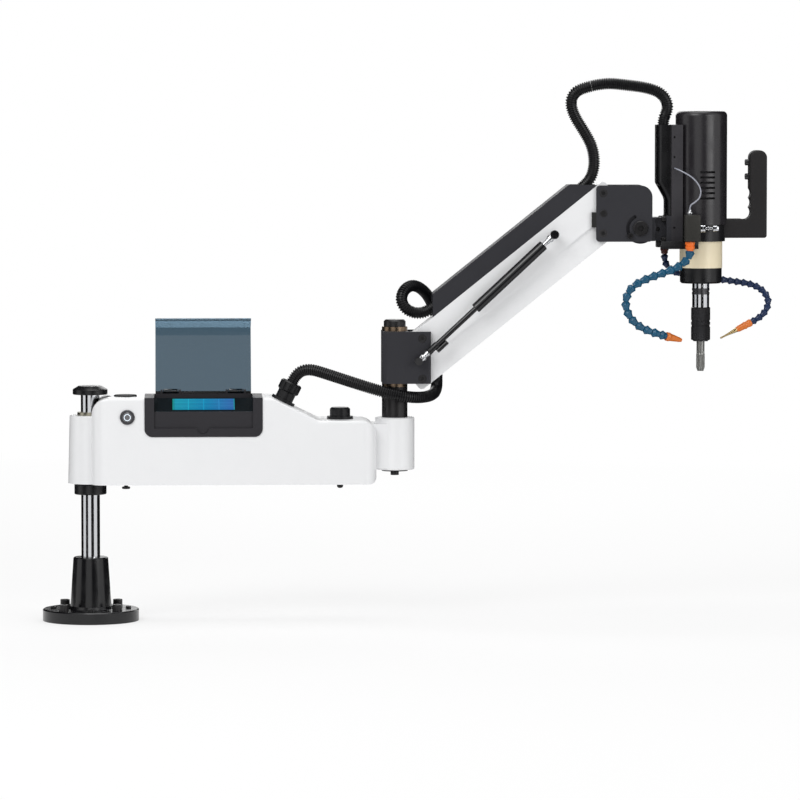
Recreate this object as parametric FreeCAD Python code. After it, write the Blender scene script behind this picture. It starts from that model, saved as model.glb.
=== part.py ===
import FreeCAD, Part
import math
import os

# Electric arm tapping machine.  Millimetres.  The origin is the centre of the underside of the
# pedestal flange, +Z runs up the column and +X runs along the stretched arm.

# ---------------------------------------------------------------- driving dimensions
RUNNING_FIT = 0.05          # radial clearance of a shaft in its bush
SLIP_GAP = 0.3              # gap between faces that pass each other
SIDE_GAP = 1.0              # gap beside a link in its fork

# pedestal and column
FLANGE_DIA = 180.0
FLANGE_THICK = 22.0
BOLT_CIRCLE = 140.0
BOLT_DIA = 12.0            # plain shank in the flange
BOLT_THREAD_DIA = 11.4     # threaded end below the flange
BOLT_HEAD_DIA = 18.0
BOLT_HEAD_HEIGHT = 12.0
BOLT_REACH = 18.0           # how far the mounting bolts reach below the flange
SET_SCREW_DIA = 10.0
SET_SCREW_PROUD = 4.0
CONE_FOOT_DIA = 77.0
CONE_TOP_DIA = 65.0
CONE_HEIGHT = 97.0
COLUMN_DIA = 35.0
COLUMN_TOP = 424.0          # top face of the bare column
COLUMN_SEAT = 8.0           # material left under the column in the pedestal
COLUMN_CAP_DIA = 65.0
COLUMN_CAP_HEIGHT = 16.0

# height collar
COLLAR_DIA = 60.0
COLLAR_HEIGHT = 19.3
COLLAR_SLIT = 2.5

# base arm housing
CASE_LEFT = 3.0
CASE_RIGHT = 534.0
CASE_DEPTH = 130.0
CASE_BOTTOM = 258.0
CASE_TOP = 420.0
CASE_LOW_TOP = 377.0        # flat behind the slope
CASE_SLOPE_START = 339.0
CASE_SLOPE_END = 426.0
CASE_WALL = 4.0
CASE_CORNER = 25.0          # vertical corners, in plan
CASE_TOP_RADIUS = 33.0
CASE_END_RADIUS = 28.0
CASE_FOOT_RADIUS = 13.0
CASE_EDGE = 5.0             # soft edge round the front and back faces
BOSS_TOP = 385.0
BOSS_TOP_DIA = 77.0
BOSS_FOOT_DIA = 83.0
BUSH_WALL = 3.5
BUSH_FLANGE_DIA = 48.0
BUSH_FLANGE = 6.0           # ring on top of the boss
THRUST_FLANGE = 1.5         # lower bush flange that rests on the collar
BUSH_LENGTH = 36.0
CASE_CAP_X = 66.0
CASE_CAP_DIA = 43.0
CASE_CAP_PROUD = 3.0
FOOT_X = (67.0, 466.0)
FOOT_DIA = 13.0
FOOT_HEIGHT = 5.0
COVER_THICK = 3.0

# power button
POWER_X = 70.0
POWER_Z = 385.0
POWER_RING_DIA = 27.5
POWER_DIA = 18.0
POWER_PROUD = 3.0
POWER_TRAVEL = 2.5

# console in the top and front of the housing
CONSOLE_LEFT = 101.8
CONSOLE_RIGHT = 321.6
CONSOLE_FOOT = 348.0
CONSOLE_PROUD = 1.5
CONSOLE_CORNER = 15.0
CONSOLE_FRONT = 8.5         # thickness of the front of the bezel
TRAY_SIDE = 18.0            # rim beside the tray
TRAY_DEPTH = 26.0
TRAY_FLOOR = 3.0
TRAY_BACK = 4.0
LIP_RECESS = 3.5            # recess for the lid's folded lip
LIP_RECESS_FOOT = 364.0
NOTCH_X = 210.5
NOTCH_RADIUS = 11.0
PANEL_TILT = 15.0           # slope of the control panel, degrees
PANEL_DEPTH = 78.0
DISPLAY_WIDTH = 116.0
DISPLAY_DEPTH = 58.0
DISPLAY_THICK = 4.0

# console lid
LID_WIDTH = 180.0
LID_THICK = 3.0
LID_LIP = 56.0
LID_OPEN = 109.0            # opening at rest, degrees from closed
HINGE_BACK = 4.0            # hinge axis in front of the back of the housing
HINGE_RISE = 5.0            # hinge axis above the top of the housing
HINGE_BARREL_DIA = 7.0
HINGE_PIN_DIA = 3.0
HINGE_BARREL_LENGTH = 30.0
HINGE_LUG = 4.0

# glands on the housing
GLAND_X = 360.0
GLAND_FLANGE_DIA = 46.0
GLAND_NUT_DIA = 41.0
GLAND_NUT_LENGTH = 20.0
GLAND_FLANGE = 5.0
GLAND_BODY_DIA = 34.0
GLAND_BODY = 15.0
BLANK_X = 467.4
BLANK_FLANGE_DIA = 49.0
BLANK_FLANGE = 5.0
BLANK_CAP_DIA = 38.0
BLANK_CAP_HEIGHT = 16.5
CONDUIT_DIA = 22.0

# elbow
ELBOW_X = 570.0
ELBOW_BOSS_DIA = 74.0
ELBOW_BOSS_FOOT = 282.0
ELBOW_BOSS_TOP = 380.0
ELBOW_SLEEVE_DIA = 48.0
ELBOW_SLEEVE_TOP = 437.0
ELBOW_SHAFT_DIA = 30.0
ELBOW_CAP_DIA = 49.0
ELBOW_CAP_THICK = 3.0
ELBOW_SCREW_DIA = 15.5
ELBOW_SCREW_HEIGHT = 8.0
BLOCK_LEFT = 545.8
BLOCK_RIGHT = 636.2
BLOCK_FOOT = 444.6
BLOCK_TOP = 541.7
BLOCK_DEPTH = 90.0
BLOCK_CHAMFER = 8.0
FORK_START = 594.0          # the fork is open from here to the right
ELBOW_RING = 8.0
TOP_CAP_DIA = 41.0
TOP_CAP_HEIGHT = 13.0

# parallelogram arm
PIVOT_X = 620.0
UPPER_PIVOT_Z = 529.0
PIVOT_SPACING = 75.0        # vertical distance between the two pivots of an end
LINK_LENGTH = 433.0
LINK_ANGLE = 38.7           # lift of the arm at rest, degrees
PIN_DIA = 16.0
PIN_HEAD_DIA = 20.0
PIN_HEAD = 3.0
UPPER_WIDTH = 66.0
UPPER_ABOVE = 18.0
UPPER_BELOW = 36.0
LOWER_WIDTH = 57.0
LOWER_ABOVE = 38.0
LOWER_BELOW = 17.5
LINK_WALL = 4.0
COVER_HEIGHT = 34.0
COVER_WALL = 2.5
COVER_WIDTH = 60.0

# gas strut in front of the arm
STRUT_Y = -57.0
STRUT_LOW = (612.75, 487.3)
STRUT_HIGH = (865.9, 723.2)
STRUT_CYLINDER_DIA = 18.0
STRUT_ROD_DIA = 8.0
STRUT_CYLINDER_START = 144.0    # cylinder, measured from the lower stud
STRUT_CYLINDER_END = 318.0
STUD_DIA = 8.0
STUD_CLEAR = 4.5                # play in the upper eye
EYE_WIDTH = 10.0

# head frame
HEAD_DATUM_X = 957.926       # upper link pin, in the head's own drawing
HEAD_DATUM_Z = 799.73
PLATE_BEFORE_PIN = 12.926
PLATE_BELOW_PIN = 15.73
PLATE_ABOVE_PIN = 14.27
PLATE_WIDTH = 105.0
PLATE_THICK = 6.0
PLATE_CORNER = 6.5
PLATE_TOP_CORNER = 22.0
TILT_INSET = 22.0            # tilt pin, from the right and lower edges of the plates
TILT_HEIGHT = 25.0
TILT_BOSS_DIA = 28.0
SLOT_RADIUS = 24.0
SLOT_WIDTH = 6.8
SLOT_START = 118.0
SLOT_END = 216.0
CLAMP_DIA = 6.0

# head
SPINDLE_OFFSET = 38.0        # spindle axis past the carrier plate
BRACKET_REACH = 48.6         # tilt bracket, from the tilt pin
BRACKET_BELOW = 24.0
BRACKET_ABOVE = 20.0
BRACKET_HOLE = 8.0
FLANGE_PLATE_THICK = 9.2
CARRIER_THICK = 21.2
CARRIER_FOOT = 696.0
CARRIER_TOP = 927.0
CARRIER_WIDTH = 76.0
DUCT_DEPTH = 27.0
DUCT_FOOT = 819.0
FLANGE_MARGIN = 3.0         # bracket flange past the bracket, above and below
DUCT_WIDTH = 44.0
MOTOR_DIA = 96.6
MOTOR_FOOT = 740.6
MOTOR_HEIGHT = 212.1
MOTOR_EDGE = 9.0
MOTOR_WALL = 3.0
VENT_LOW = 788.0
VENT_PITCH = 9.75
VENT_COUNT = 6
VENT_WIDTH = 28.0
VENT_HEIGHT = 4.0
RING_DIA = 90.0
SPINDLE_HOUSING_DIA = 80.0
RING_HEIGHT = 31.6
SPINDLE_HOUSING_HEIGHT = 50.0
NOSE_DIA = 78.4
NOSE_HEIGHT = 29.0
SPINDLE_DIA = 24.0
CHUCK_DIA = 32.0
CHUCK_HEIGHT = 102.7
CHUCK_GROOVE_DROP = 9.1      # groove below the top of the chuck
CHUCK_GROOVE_HEIGHT = 11.6
SLEEVE_DIA = 36.0
SLEEVE_DROP = 44.7           # sleeve below the top of the chuck
SLEEVE_HEIGHT = 62.0
SLEEVE_TRAVEL = 6.0
TAP_DIA = 16.0
TAP_SHANK_DIA = 15.0
TAP_REACH = 58.0             # tap below the sleeve
TAP_FLUTE_LENGTH = 31.0

# handle
HANDLE_DEPTH = 34.0
HANDLE_RIGHT = 1267.5
HANDLE_BAR_FOOT = 715.0
HANDLE_BAR_TOP = 751.0
GRIP_LEFT = 1234.0
GRIP_TOP = 879.0
SCALLOP_RADIUS = 13.0
SCALLOP_DEPTH = 3.5
SCALLOP_LOW = 763.0
SCALLOP_PITCH = 18.0
SCALLOP_COUNT = 3
BUTTON_DIA = 12.0
BUTTON_PROUD = 7.0
BUTTON_TRAVEL = 3.0
START_Z = 856.5
REVERSE_Z = 830.0

# lubricator
LUB_LEFT = 1107.0
LUB_RIGHT = 1137.0
LUB_FOOT = 710.0
LUB_HEIGHT = 52.0
LUB_FRONT = -80.0
LUB_BACK = -52.0
LUB_PLATE_LEFT = 1066.0
LUB_PLATE_HEIGHT = 14.4
KNOB_DIA = 15.0
KNOB_RIGHT = 1171.0
KNOB_HEIGHT = 24.5          # knob axis above the foot of the block
HOSE_DIA = 16.0
FITTING_DIA = 18.0
OIL_TUBE_DIA = 3.0

# ---------------------------------------------------------------- derived places
X_AXIS = FreeCAD.Vector(1, 0, 0)
Y_AXIS = FreeCAD.Vector(0, 1, 0)
Z_AXIS = FreeCAD.Vector(0, 0, 1)
CASE_FRONT = -CASE_DEPTH / 2
CASE_BACK = CASE_DEPTH / 2
COLLAR_TOP = CASE_BOTTOM - THRUST_FLANGE - SLIP_GAP
LINK_COS = math.cos(math.radians(LINK_ANGLE))
LINK_SIN = math.sin(math.radians(LINK_ANGLE))
LOWER_PIVOT_Z = UPPER_PIVOT_Z - PIVOT_SPACING
HEAD_PIVOT_X = PIVOT_X + LINK_LENGTH * LINK_COS
HEAD_PIVOT_Z = UPPER_PIVOT_Z + LINK_LENGTH * LINK_SIN
HEAD_PIN_HEIGHTS = (HEAD_DATUM_Z, HEAD_DATUM_Z - PIVOT_SPACING)
PLATE_LEFT = HEAD_DATUM_X - PLATE_BEFORE_PIN
PLATE_RIGHT = PLATE_LEFT + PLATE_WIDTH
PLATE_FOOT = HEAD_DATUM_Z - PIVOT_SPACING - PLATE_BELOW_PIN
PLATE_TOP = HEAD_DATUM_Z + PLATE_ABOVE_PIN
TILT_X = PLATE_RIGHT - TILT_INSET
TILT_Z = PLATE_FOOT + TILT_HEIGHT
BRACKET_RIGHT = TILT_X + BRACKET_REACH
BRACKET_FOOT = TILT_Z - BRACKET_BELOW
BRACKET_TOP = TILT_Z + BRACKET_ABOVE
FLANGE_PLATE_RIGHT = BRACKET_RIGHT + FLANGE_PLATE_THICK
CARRIER_RIGHT = FLANGE_PLATE_RIGHT + CARRIER_THICK
DUCT_LEFT = FLANGE_PLATE_RIGHT - DUCT_DEPTH
HEAD_X = CARRIER_RIGHT + SPINDLE_OFFSET
MOTOR_TOP = MOTOR_FOOT + MOTOR_HEIGHT
SPINDLE_HOUSING_TOP = MOTOR_FOOT - RING_HEIGHT
NOSE_TOP = SPINDLE_HOUSING_TOP - SPINDLE_HOUSING_HEIGHT
NOSE_FOOT = NOSE_TOP - NOSE_HEIGHT
CHUCK_TOP = NOSE_FOOT - SLIP_GAP
CHUCK_FOOT = CHUCK_TOP - CHUCK_HEIGHT
CHUCK_GROOVE_TOP = CHUCK_TOP - CHUCK_GROOVE_DROP
CHUCK_GROOVE_FOOT = CHUCK_GROOVE_TOP - CHUCK_GROOVE_HEIGHT
SLEEVE_TOP = CHUCK_TOP - SLEEVE_DROP
SLEEVE_FOOT = SLEEVE_TOP - SLEEVE_HEIGHT
TAP_FOOT = SLEEVE_FOOT - TAP_REACH
TAP_FLUTE_TOP = TAP_FOOT + TAP_FLUTE_LENGTH
LUB_TOP = LUB_FOOT + LUB_HEIGHT
LUB_PLATE_FOOT = LUB_FOOT - LUB_PLATE_HEIGHT
KNOB_Z = LUB_FOOT + KNOB_HEIGHT
FORK_HALF = UPPER_WIDTH / 2 + SIDE_GAP
PLATE_INNER = UPPER_WIDTH / 2 + SIDE_GAP
PLATE_OUTER = PLATE_INNER + PLATE_THICK
HINGE_Y = CASE_BACK - HINGE_BACK
HINGE_Z = CASE_TOP + HINGE_RISE
TRAY_LEFT = CONSOLE_LEFT + TRAY_SIDE
TRAY_RIGHT = CONSOLE_RIGHT - TRAY_SIDE
BEZEL_FRONT = CASE_FRONT - CONSOLE_PROUD
BEZEL_INNER = BEZEL_FRONT + CONSOLE_FRONT
BEZEL_BACK = CASE_BACK - CASE_WALL
BEZEL_TOP = CASE_TOP + 1.0
TRAY_TOP_OF_FLOOR = BEZEL_TOP - TRAY_DEPTH


# ---------------------------------------------------------------- helpers
def vec(x, y, z):
    return FreeCAD.Vector(x, y, z)


def rod(diameter, start, end):
    """Cylinder from one point to another."""
    line = end - start
    return Part.makeCylinder(diameter / 2, line.Length, start, line)


def upright(diameter, x, z_low, z_high, y=0.0):
    return rod(diameter, vec(x, y, z_low), vec(x, y, z_high))


def crosswise(diameter, x, z, y_near, y_far):
    return rod(diameter, vec(x, y_near, z), vec(x, y_far, z))


def block(x_low, x_high, y_low, y_high, z_low, z_high):
    corner = vec(x_low, y_low, z_low)
    return Part.makeBox(x_high - x_low, y_high - y_low, z_high - z_low, corner)


def rounded_wire(corners):
    """Closed wire through (point, radius) corners, each corner rounded by its radius."""
    count = len(corners)
    edges = []
    last = None
    first = None
    for i in range(count):
        point, radius = corners[i]
        back = (corners[i - 1][0] - point).normalize()
        ahead = (corners[(i + 1) % count][0] - point).normalize()
        if radius <= 0:
            start = point
            end = point
            arc = None
        else:
            half = back.getAngle(ahead) / 2
            reach = radius / math.tan(half)
            start = point + back * reach
            end = point + ahead * reach
            bisector = (back + ahead).normalize()
            centre = point + bisector * (radius / math.sin(half))
            arc = Part.Arc(start, centre - bisector * radius, end).toShape()
        if last is not None and last.distanceToPoint(start) > 1e-6:
            edges.append(Part.makeLine(last, start))
        if arc is not None:
            edges.append(arc)
        if first is None:
            first = start
        last = end
    if last.distanceToPoint(first) > 1e-6:
        edges.append(Part.makeLine(last, first))
    return Part.Wire(edges)


def side_profile(corners, y_near, y_far):
    """Solid with the outline (x, z, radius) seen from the front, between two depths."""
    wire = rounded_wire([(vec(x, y_near, z), radius) for x, z, radius in corners])
    return Part.Face(wire).extrude(vec(0, y_far - y_near, 0))


def plan_profile(corners, z_low, z_high):
    """Solid with the outline (x, y, radius) seen from above."""
    wire = rounded_wire([(vec(x, y, z_low), radius) for x, y, radius in corners])
    return Part.Face(wire).extrude(vec(0, 0, z_high - z_low))


def end_profile(corners, x_low, x_high):
    """Solid with the outline (y, z, radius) seen from the end of the arm."""
    wire = rounded_wire([(vec(x_low, y, z), radius) for y, z, radius in corners])
    return Part.Face(wire).extrude(vec(x_high - x_low, 0, 0))


def turned(profile, x, y=0.0):
    """Solid of revolution about a vertical axis from (radius, z) points."""
    points = [vec(x + radius, y, z) for radius, z in profile]
    face = Part.Face(Part.makePolygon(points + [points[0]]))
    return face.revolve(vec(x, y, 0), Z_AXIS, 360)


def hex_socket(diameter, top, depth, direction):
    """Hexagonal key recess, cut down from a point along a direction."""
    circle = Part.makeCircle(diameter / 2, top, direction)
    points = circle.discretize(7)
    return Part.Face(Part.makePolygon(points)).extrude(direction * depth)


def socket_screw(head_dia, head_height, shank_dia, shank_length, seat, outward):
    """Socket head screw whose head stands on the seat."""
    head = Part.makeCylinder(head_dia / 2, head_height, seat, outward)
    edge = [e for e in head.Edges if e.Closed and (e.CenterOfMass - seat).Length > head_height / 2]
    head = head.makeChamfer(head_height * 0.08, edge)
    shank = Part.makeCylinder(shank_dia / 2, shank_length, seat, outward * -1)
    recess = hex_socket(head_dia * 0.6, seat + outward * head_height, head_height * 0.5, outward * -1)
    return head.fuse(shank).cut(recess)


def link_point(pivot_x, pivot_z, along, across, y=0.0):
    """Point given along and square to the arm, measured from a lower pivot."""
    x = pivot_x + along * LINK_COS - across * LINK_SIN
    z = pivot_z + along * LINK_SIN + across * LINK_COS
    return vec(x, y, z)


def link_profile(pivot_z, corners, y_near, y_far):
    """Solid with an outline (along, across, radius) in the arm's own directions."""
    places = []
    for along, across, radius in corners:
        places.append((link_point(PIVOT_X, pivot_z, along, across, y_near), radius))
    return Part.Face(rounded_wire(places)).extrude(vec(0, y_far - y_near, 0))


def soften(shape, radius, chosen):
    """Fillet the edges that the test chooses."""
    edges = [edge for edge in shape.Edges if chosen(edge)]
    return shape.makeFillet(radius, edges)


def save(name, shape):
    shape = shape.removeSplitter()
    solids = shape.Solids
    if len(solids) == 1:
        shape = solids[0]
    shape.exportStep("parts/" + name + ".step")
    print(name, len(solids), "solids", shape.isValid(), round(shape.Volume / 1000, 1), "cm3")


# ---------------------------------------------------------------- pedestal and column
def bolt_places():
    """Four places on the bolt circle, between the axes."""
    half = BOLT_CIRCLE / 2 * math.sqrt(0.5)
    return [(x, y) for x in (-half, half) for y in (-half, half)]


def set_screw_places():
    half = BOLT_CIRCLE / 2
    return [(half, 0), (0, half), (-half, 0), (0, -half)]


def pedestal():
    cone_top = FLANGE_THICK + CONE_HEIGHT
    outline = [
        (0, 0),
        (FLANGE_DIA / 2, 0),
        (FLANGE_DIA / 2, FLANGE_THICK - 2),
        (FLANGE_DIA / 2 - 2, FLANGE_THICK),
        (CONE_FOOT_DIA / 2 + 4, FLANGE_THICK),
        (CONE_FOOT_DIA / 2, FLANGE_THICK + 5),
        (CONE_TOP_DIA / 2, cone_top - 2),
        (CONE_TOP_DIA / 2 - 2, cone_top),
        (0, cone_top),
    ]
    body = turned(outline, 0)
    body = body.cut(upright(COLUMN_DIA, 0, COLUMN_SEAT, cone_top + 1))
    for x, y in bolt_places():
        body = body.cut(upright(BOLT_DIA, x, -1, FLANGE_THICK + 1, y))
    for x, y in set_screw_places():
        body = body.cut(upright(SET_SCREW_DIA, x, -1, FLANGE_THICK + 1, y))
    return body


def mounting_bolts():
    bolts = []
    for x, y in bolt_places():
        seat = vec(x, y, FLANGE_THICK)
        bolt = socket_screw(BOLT_HEAD_DIA, BOLT_HEAD_HEIGHT, BOLT_DIA, FLANGE_THICK, seat, Z_AXIS)
        bolts.append(bolt.fuse(upright(BOLT_THREAD_DIA, x, -BOLT_REACH, 0, y)))
    return Part.makeCompound(bolts)


def levelling_screws():
    top = FLANGE_THICK + SET_SCREW_PROUD
    screws = []
    for x, y in set_screw_places():
        screw = upright(SET_SCREW_DIA, x, 0, top, y)
        screws.append(screw.cut(hex_socket(SET_SCREW_DIA / 2, vec(x, y, top), 5, Z_AXIS * -1)))
    return Part.makeCompound(screws)


def column():
    return upright(COLUMN_DIA, 0, COLUMN_SEAT, COLUMN_TOP)


def column_cap():
    radius = COLUMN_CAP_DIA / 2
    top = COLUMN_TOP + COLUMN_CAP_HEIGHT
    outline = [
        (0, COLUMN_TOP),
        (radius - 1, COLUMN_TOP),
        (radius, COLUMN_TOP + 1),
        (radius, COLUMN_TOP + 9),
        (radius - 1.5, COLUMN_TOP + 10.5),
        (radius - 11, top),
        (0, top),
    ]
    return turned(outline, 0)


# ---------------------------------------------------------------- height collar
COLLAR_FOOT = COLLAR_TOP - COLLAR_HEIGHT
COLLAR_SCREW_DIA = 8.0
COLLAR_SCREW_HEAD = 13.0
COLLAR_SCREW_Y = COLUMN_DIA / 2 + 7.0
COLLAR_SCREW_LENGTH = 34.0


def collar_screw():
    seat = vec(COLLAR_SCREW_LENGTH / 2 - COLLAR_SCREW_HEAD / 2, COLLAR_SCREW_Y, COLLAR_TOP - COLLAR_HEIGHT / 2)
    return socket_screw(COLLAR_SCREW_HEAD, 7, COLLAR_SCREW_DIA, COLLAR_SCREW_LENGTH * 0.7, seat, X_AXIS)


def lock_collar():
    ring = upright(COLLAR_DIA, 0, COLLAR_FOOT, COLLAR_TOP)
    rims = [e for e in ring.Edges if e.Closed]
    ring = ring.makeChamfer(1.2, rims)
    ring = ring.cut(upright(COLUMN_DIA + 2 * RUNNING_FIT, 0, COLLAR_FOOT - 1, COLLAR_TOP + 1))
    half = COLLAR_SLIT / 2
    ring = ring.cut(block(-half, half, 0, COLLAR_DIA, COLLAR_FOOT - 1, COLLAR_TOP + 1))
    seat_x = COLLAR_SCREW_LENGTH / 2 - COLLAR_SCREW_HEAD / 2
    middle = COLLAR_TOP - COLLAR_HEIGHT / 2
    head_room = rod(COLLAR_SCREW_HEAD, vec(seat_x, COLLAR_SCREW_Y, middle), vec(60, COLLAR_SCREW_Y, middle))
    return ring.cut(head_room).cut(collar_screw())


# ---------------------------------------------------------------- base arm housing
def case_outline(inset, foot, foot_radius):
    """Housing outline seen from the front, moved in by a wall."""
    slope = math.atan2(CASE_TOP - CASE_LOW_TOP, CASE_SLOPE_END - CASE_SLOPE_START)
    shift = inset * math.tan(slope / 2)
    return [
        (CASE_LEFT + inset, foot, 0),
        (CASE_RIGHT - inset, foot, foot_radius),
        (CASE_RIGHT - inset, CASE_LOW_TOP - inset, CASE_END_RADIUS - inset),
        (CASE_SLOPE_END - shift, CASE_LOW_TOP - inset, 12),
        (CASE_SLOPE_START - shift, CASE_TOP - inset, 12),
        (CASE_LEFT + inset, CASE_TOP - inset, CASE_TOP_RADIUS - inset),
    ]


def case_plan(inset):
    corner = CASE_CORNER - inset
    return [
        (CASE_LEFT + inset, CASE_FRONT + inset, corner),
        (CASE_RIGHT - inset, CASE_FRONT + inset, corner),
        (CASE_RIGHT - inset, CASE_BACK - inset, corner),
        (CASE_LEFT + inset, CASE_BACK - inset, corner),
    ]


def cover_plan(gap):
    """Opening in the floor of the housing, short of its rounded end, less a gap all round."""
    inset = CASE_WALL + gap
    right = CASE_RIGHT - CASE_FOOT_RADIUS - inset
    corner = CASE_CORNER - inset
    return [
        (CASE_LEFT + inset, CASE_FRONT + inset, corner),
        (right, CASE_FRONT + inset, corner),
        (right, CASE_BACK - inset, corner),
        (CASE_LEFT + inset, CASE_BACK - inset, corner),
    ]


def case_boss():
    """Solid boss of the housing round the column."""
    outline = [
        (0, CASE_BOTTOM),
        (BOSS_FOOT_DIA / 2, CASE_BOTTOM),
        (BOSS_TOP_DIA / 2, BOSS_TOP - 1.5),
        (BOSS_TOP_DIA / 2 - 1.5, BOSS_TOP),
        (0, BOSS_TOP),
    ]
    return turned(outline, 0)


def elbow_boss():
    """Solid boss at the far end of the housing and the neck that carries it."""
    boss = upright(ELBOW_BOSS_DIA, ELBOW_X, ELBOW_BOSS_FOOT, ELBOW_BOSS_TOP)
    rims = [e for e in boss.Edges if e.Closed]
    boss = boss.makeChamfer(2, rims)
    half = ELBOW_BOSS_DIA / 2 - 3
    neck_left = CASE_RIGHT - CASE_CORNER - 10
    neck = block(neck_left, ELBOW_X, -half, half, ELBOW_BOSS_FOOT + 3, CASE_LOW_TOP - 8)
    return boss.fuse(neck)


def console_envelope():
    """Space that the console takes in the housing."""
    front = side_profile(
        [
            (CONSOLE_LEFT, CONSOLE_FOOT, CONSOLE_CORNER),
            (CONSOLE_RIGHT, CONSOLE_FOOT, CONSOLE_CORNER),
            (CONSOLE_RIGHT, BEZEL_TOP, 0),
            (CONSOLE_LEFT, BEZEL_TOP, 0),
        ],
        BEZEL_FRONT,
        BEZEL_INNER,
    )
    foot = TRAY_TOP_OF_FLOOR - TRAY_FLOOR
    tray = block(CONSOLE_LEFT, CONSOLE_RIGHT, BEZEL_INNER, BEZEL_BACK, foot, BEZEL_TOP)
    return front.fuse(tray)


def slope_frame():
    """Foot of the conduit gland on the sloping top, and the outward direction there."""
    fall = CASE_TOP - CASE_LOW_TOP
    run = CASE_SLOPE_END - CASE_SLOPE_START
    foot = vec(GLAND_X, 0, CASE_TOP - (GLAND_X - CASE_SLOPE_START) * fall / run)
    outward = vec(fall, 0, run).normalize()
    return foot, outward


def arm_housing():
    shell = side_profile(case_outline(0, CASE_BOTTOM, 0), CASE_FRONT, CASE_BACK)
    shell = soften(shell, CASE_EDGE, is_case_edge)
    shell = shell.common(plan_profile(case_plan(0), CASE_BOTTOM, CASE_TOP + 1)).common(foot_form())
    inner_foot = CASE_FOOT_RADIUS - CASE_WALL
    inside = case_outline(CASE_WALL, CASE_BOTTOM + CASE_WALL, inner_foot)
    cavity = side_profile(inside, CASE_FRONT, CASE_BACK)
    cavity = cavity.common(plan_profile(case_plan(CASE_WALL), CASE_BOTTOM, CASE_TOP + 1))
    opening = plan_profile(cover_plan(0), CASE_BOTTOM - 1, CASE_BOTTOM + CASE_WALL + 1)
    body = shell.cut(cavity).cut(opening).fuse([case_boss(), elbow_boss()])
    above = upright(BOSS_TOP_DIA + 2, 0, BOSS_TOP, CASE_TOP + 5)
    body = body.cut(above.common(block(-60, 60, -29, 29, BOSS_TOP, CASE_TOP + 5)))
    bore = COLUMN_DIA + 2 * BUSH_WALL
    body = body.cut(upright(bore, 0, CASE_BOTTOM - 1, BOSS_TOP + 1))
    body = body.cut(upright(ELBOW_SHAFT_DIA, ELBOW_X, ELBOW_BOSS_FOOT - 1, ELBOW_BOSS_TOP + 1))
    body = body.cut(console_envelope())
    foot, outward = slope_frame()
    body = body.cut(rod(CONDUIT_DIA, foot - outward * 12, foot + outward * 12))
    body = body.cut(crosswise(POWER_BARREL_DIA, POWER_X, POWER_Z, CASE_FRONT - 1, CASE_FRONT + CASE_WALL + 1))
    body = body.cut(crosswise(INLET_DIA, INLET_X, INLET_Z, CASE_BACK - CASE_WALL - 1, CASE_BACK + 1))
    return body


def foot_form():
    """Block with the housing's rounded lower corner at the elbow end."""
    return side_profile(
        [
            (CASE_LEFT - 1, CASE_BOTTOM, 0),
            (CASE_RIGHT, CASE_BOTTOM, CASE_FOOT_RADIUS),
            (CASE_RIGHT, CASE_TOP + 1, 0),
            (CASE_LEFT - 1, CASE_TOP + 1, 0),
        ],
        CASE_FRONT - 1,
        CASE_BACK + 1,
    )


def is_case_edge(edge):
    """Edges round the front and back faces of the housing, apart from the foot."""
    middle = edge.valueAt((edge.FirstParameter + edge.LastParameter) / 2)
    on_face = abs(abs(middle.y) - CASE_BACK) < 1e-3
    return on_face and middle.z > CASE_BOTTOM + 1


POWER_BARREL_DIA = 22.0
INLET_X = 470.0
INLET_Z = 300.0
INLET_DIA = 28.0


def bottom_cover():
    """Plate that closes the housing from below, cut out round the boss and the neck."""
    plate = plan_profile(cover_plan(SLIP_GAP), CASE_BOTTOM, CASE_BOTTOM + COVER_THICK)
    boss = upright(BOSS_FOOT_DIA + 2 * SLIP_GAP, 0, CASE_BOTTOM - 1, CASE_BOTTOM + COVER_THICK + 1)
    return plate.cut(boss)


def case_feet():
    feet = []
    for x in FOOT_X:
        top = CASE_BOTTOM
        foot = upright(FOOT_DIA, x, top - FOOT_HEIGHT, top)
        feet.append(foot.makeChamfer(1, [e for e in foot.Edges if e.Closed and e.CenterOfMass.z < top - 1]))
    return Part.makeCompound(feet)


def column_bushes():
    outer = COLUMN_DIA + 2 * BUSH_WALL
    bore = COLUMN_DIA + 2 * RUNNING_FIT
    upper = upright(outer, 0, BOSS_TOP - BUSH_LENGTH, BOSS_TOP)
    upper = upper.fuse(upright(BUSH_FLANGE_DIA, 0, BOSS_TOP, BOSS_TOP + BUSH_FLANGE))
    lower = upright(outer, 0, CASE_BOTTOM, CASE_BOTTOM + BUSH_LENGTH)
    lower = lower.fuse(upright(BUSH_FLANGE_DIA, 0, CASE_BOTTOM - THRUST_FLANGE, CASE_BOTTOM))
    hole = upright(bore, 0, CASE_BOTTOM - 10, BOSS_TOP + 20)
    return Part.makeCompound([upper.cut(hole), lower.cut(hole)])


def case_cap():
    cap = upright(CASE_CAP_DIA, CASE_CAP_X, CASE_TOP, CASE_TOP + CASE_CAP_PROUD)
    return cap.makeChamfer(1, [e for e in cap.Edges if e.Closed and e.CenterOfMass.z > CASE_TOP + 1])


def power_button_ring():
    """Chromed ring with its barrel through the front of the housing."""
    ring = crosswise(POWER_RING_DIA, POWER_X, POWER_Z, CASE_FRONT - 4, CASE_FRONT)
    ring = ring.makeChamfer(1.5, [e for e in ring.Edges if e.Closed and e.CenterOfMass.y < CASE_FRONT - 3])
    barrel = crosswise(POWER_BARREL_DIA, POWER_X, POWER_Z, CASE_FRONT, CASE_FRONT + 24)
    bore = crosswise(POWER_DIA + 2 * SLIP_GAP, POWER_X, POWER_Z, CASE_FRONT - 5, CASE_FRONT + 20)
    return ring.fuse(barrel).cut(bore)


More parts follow.
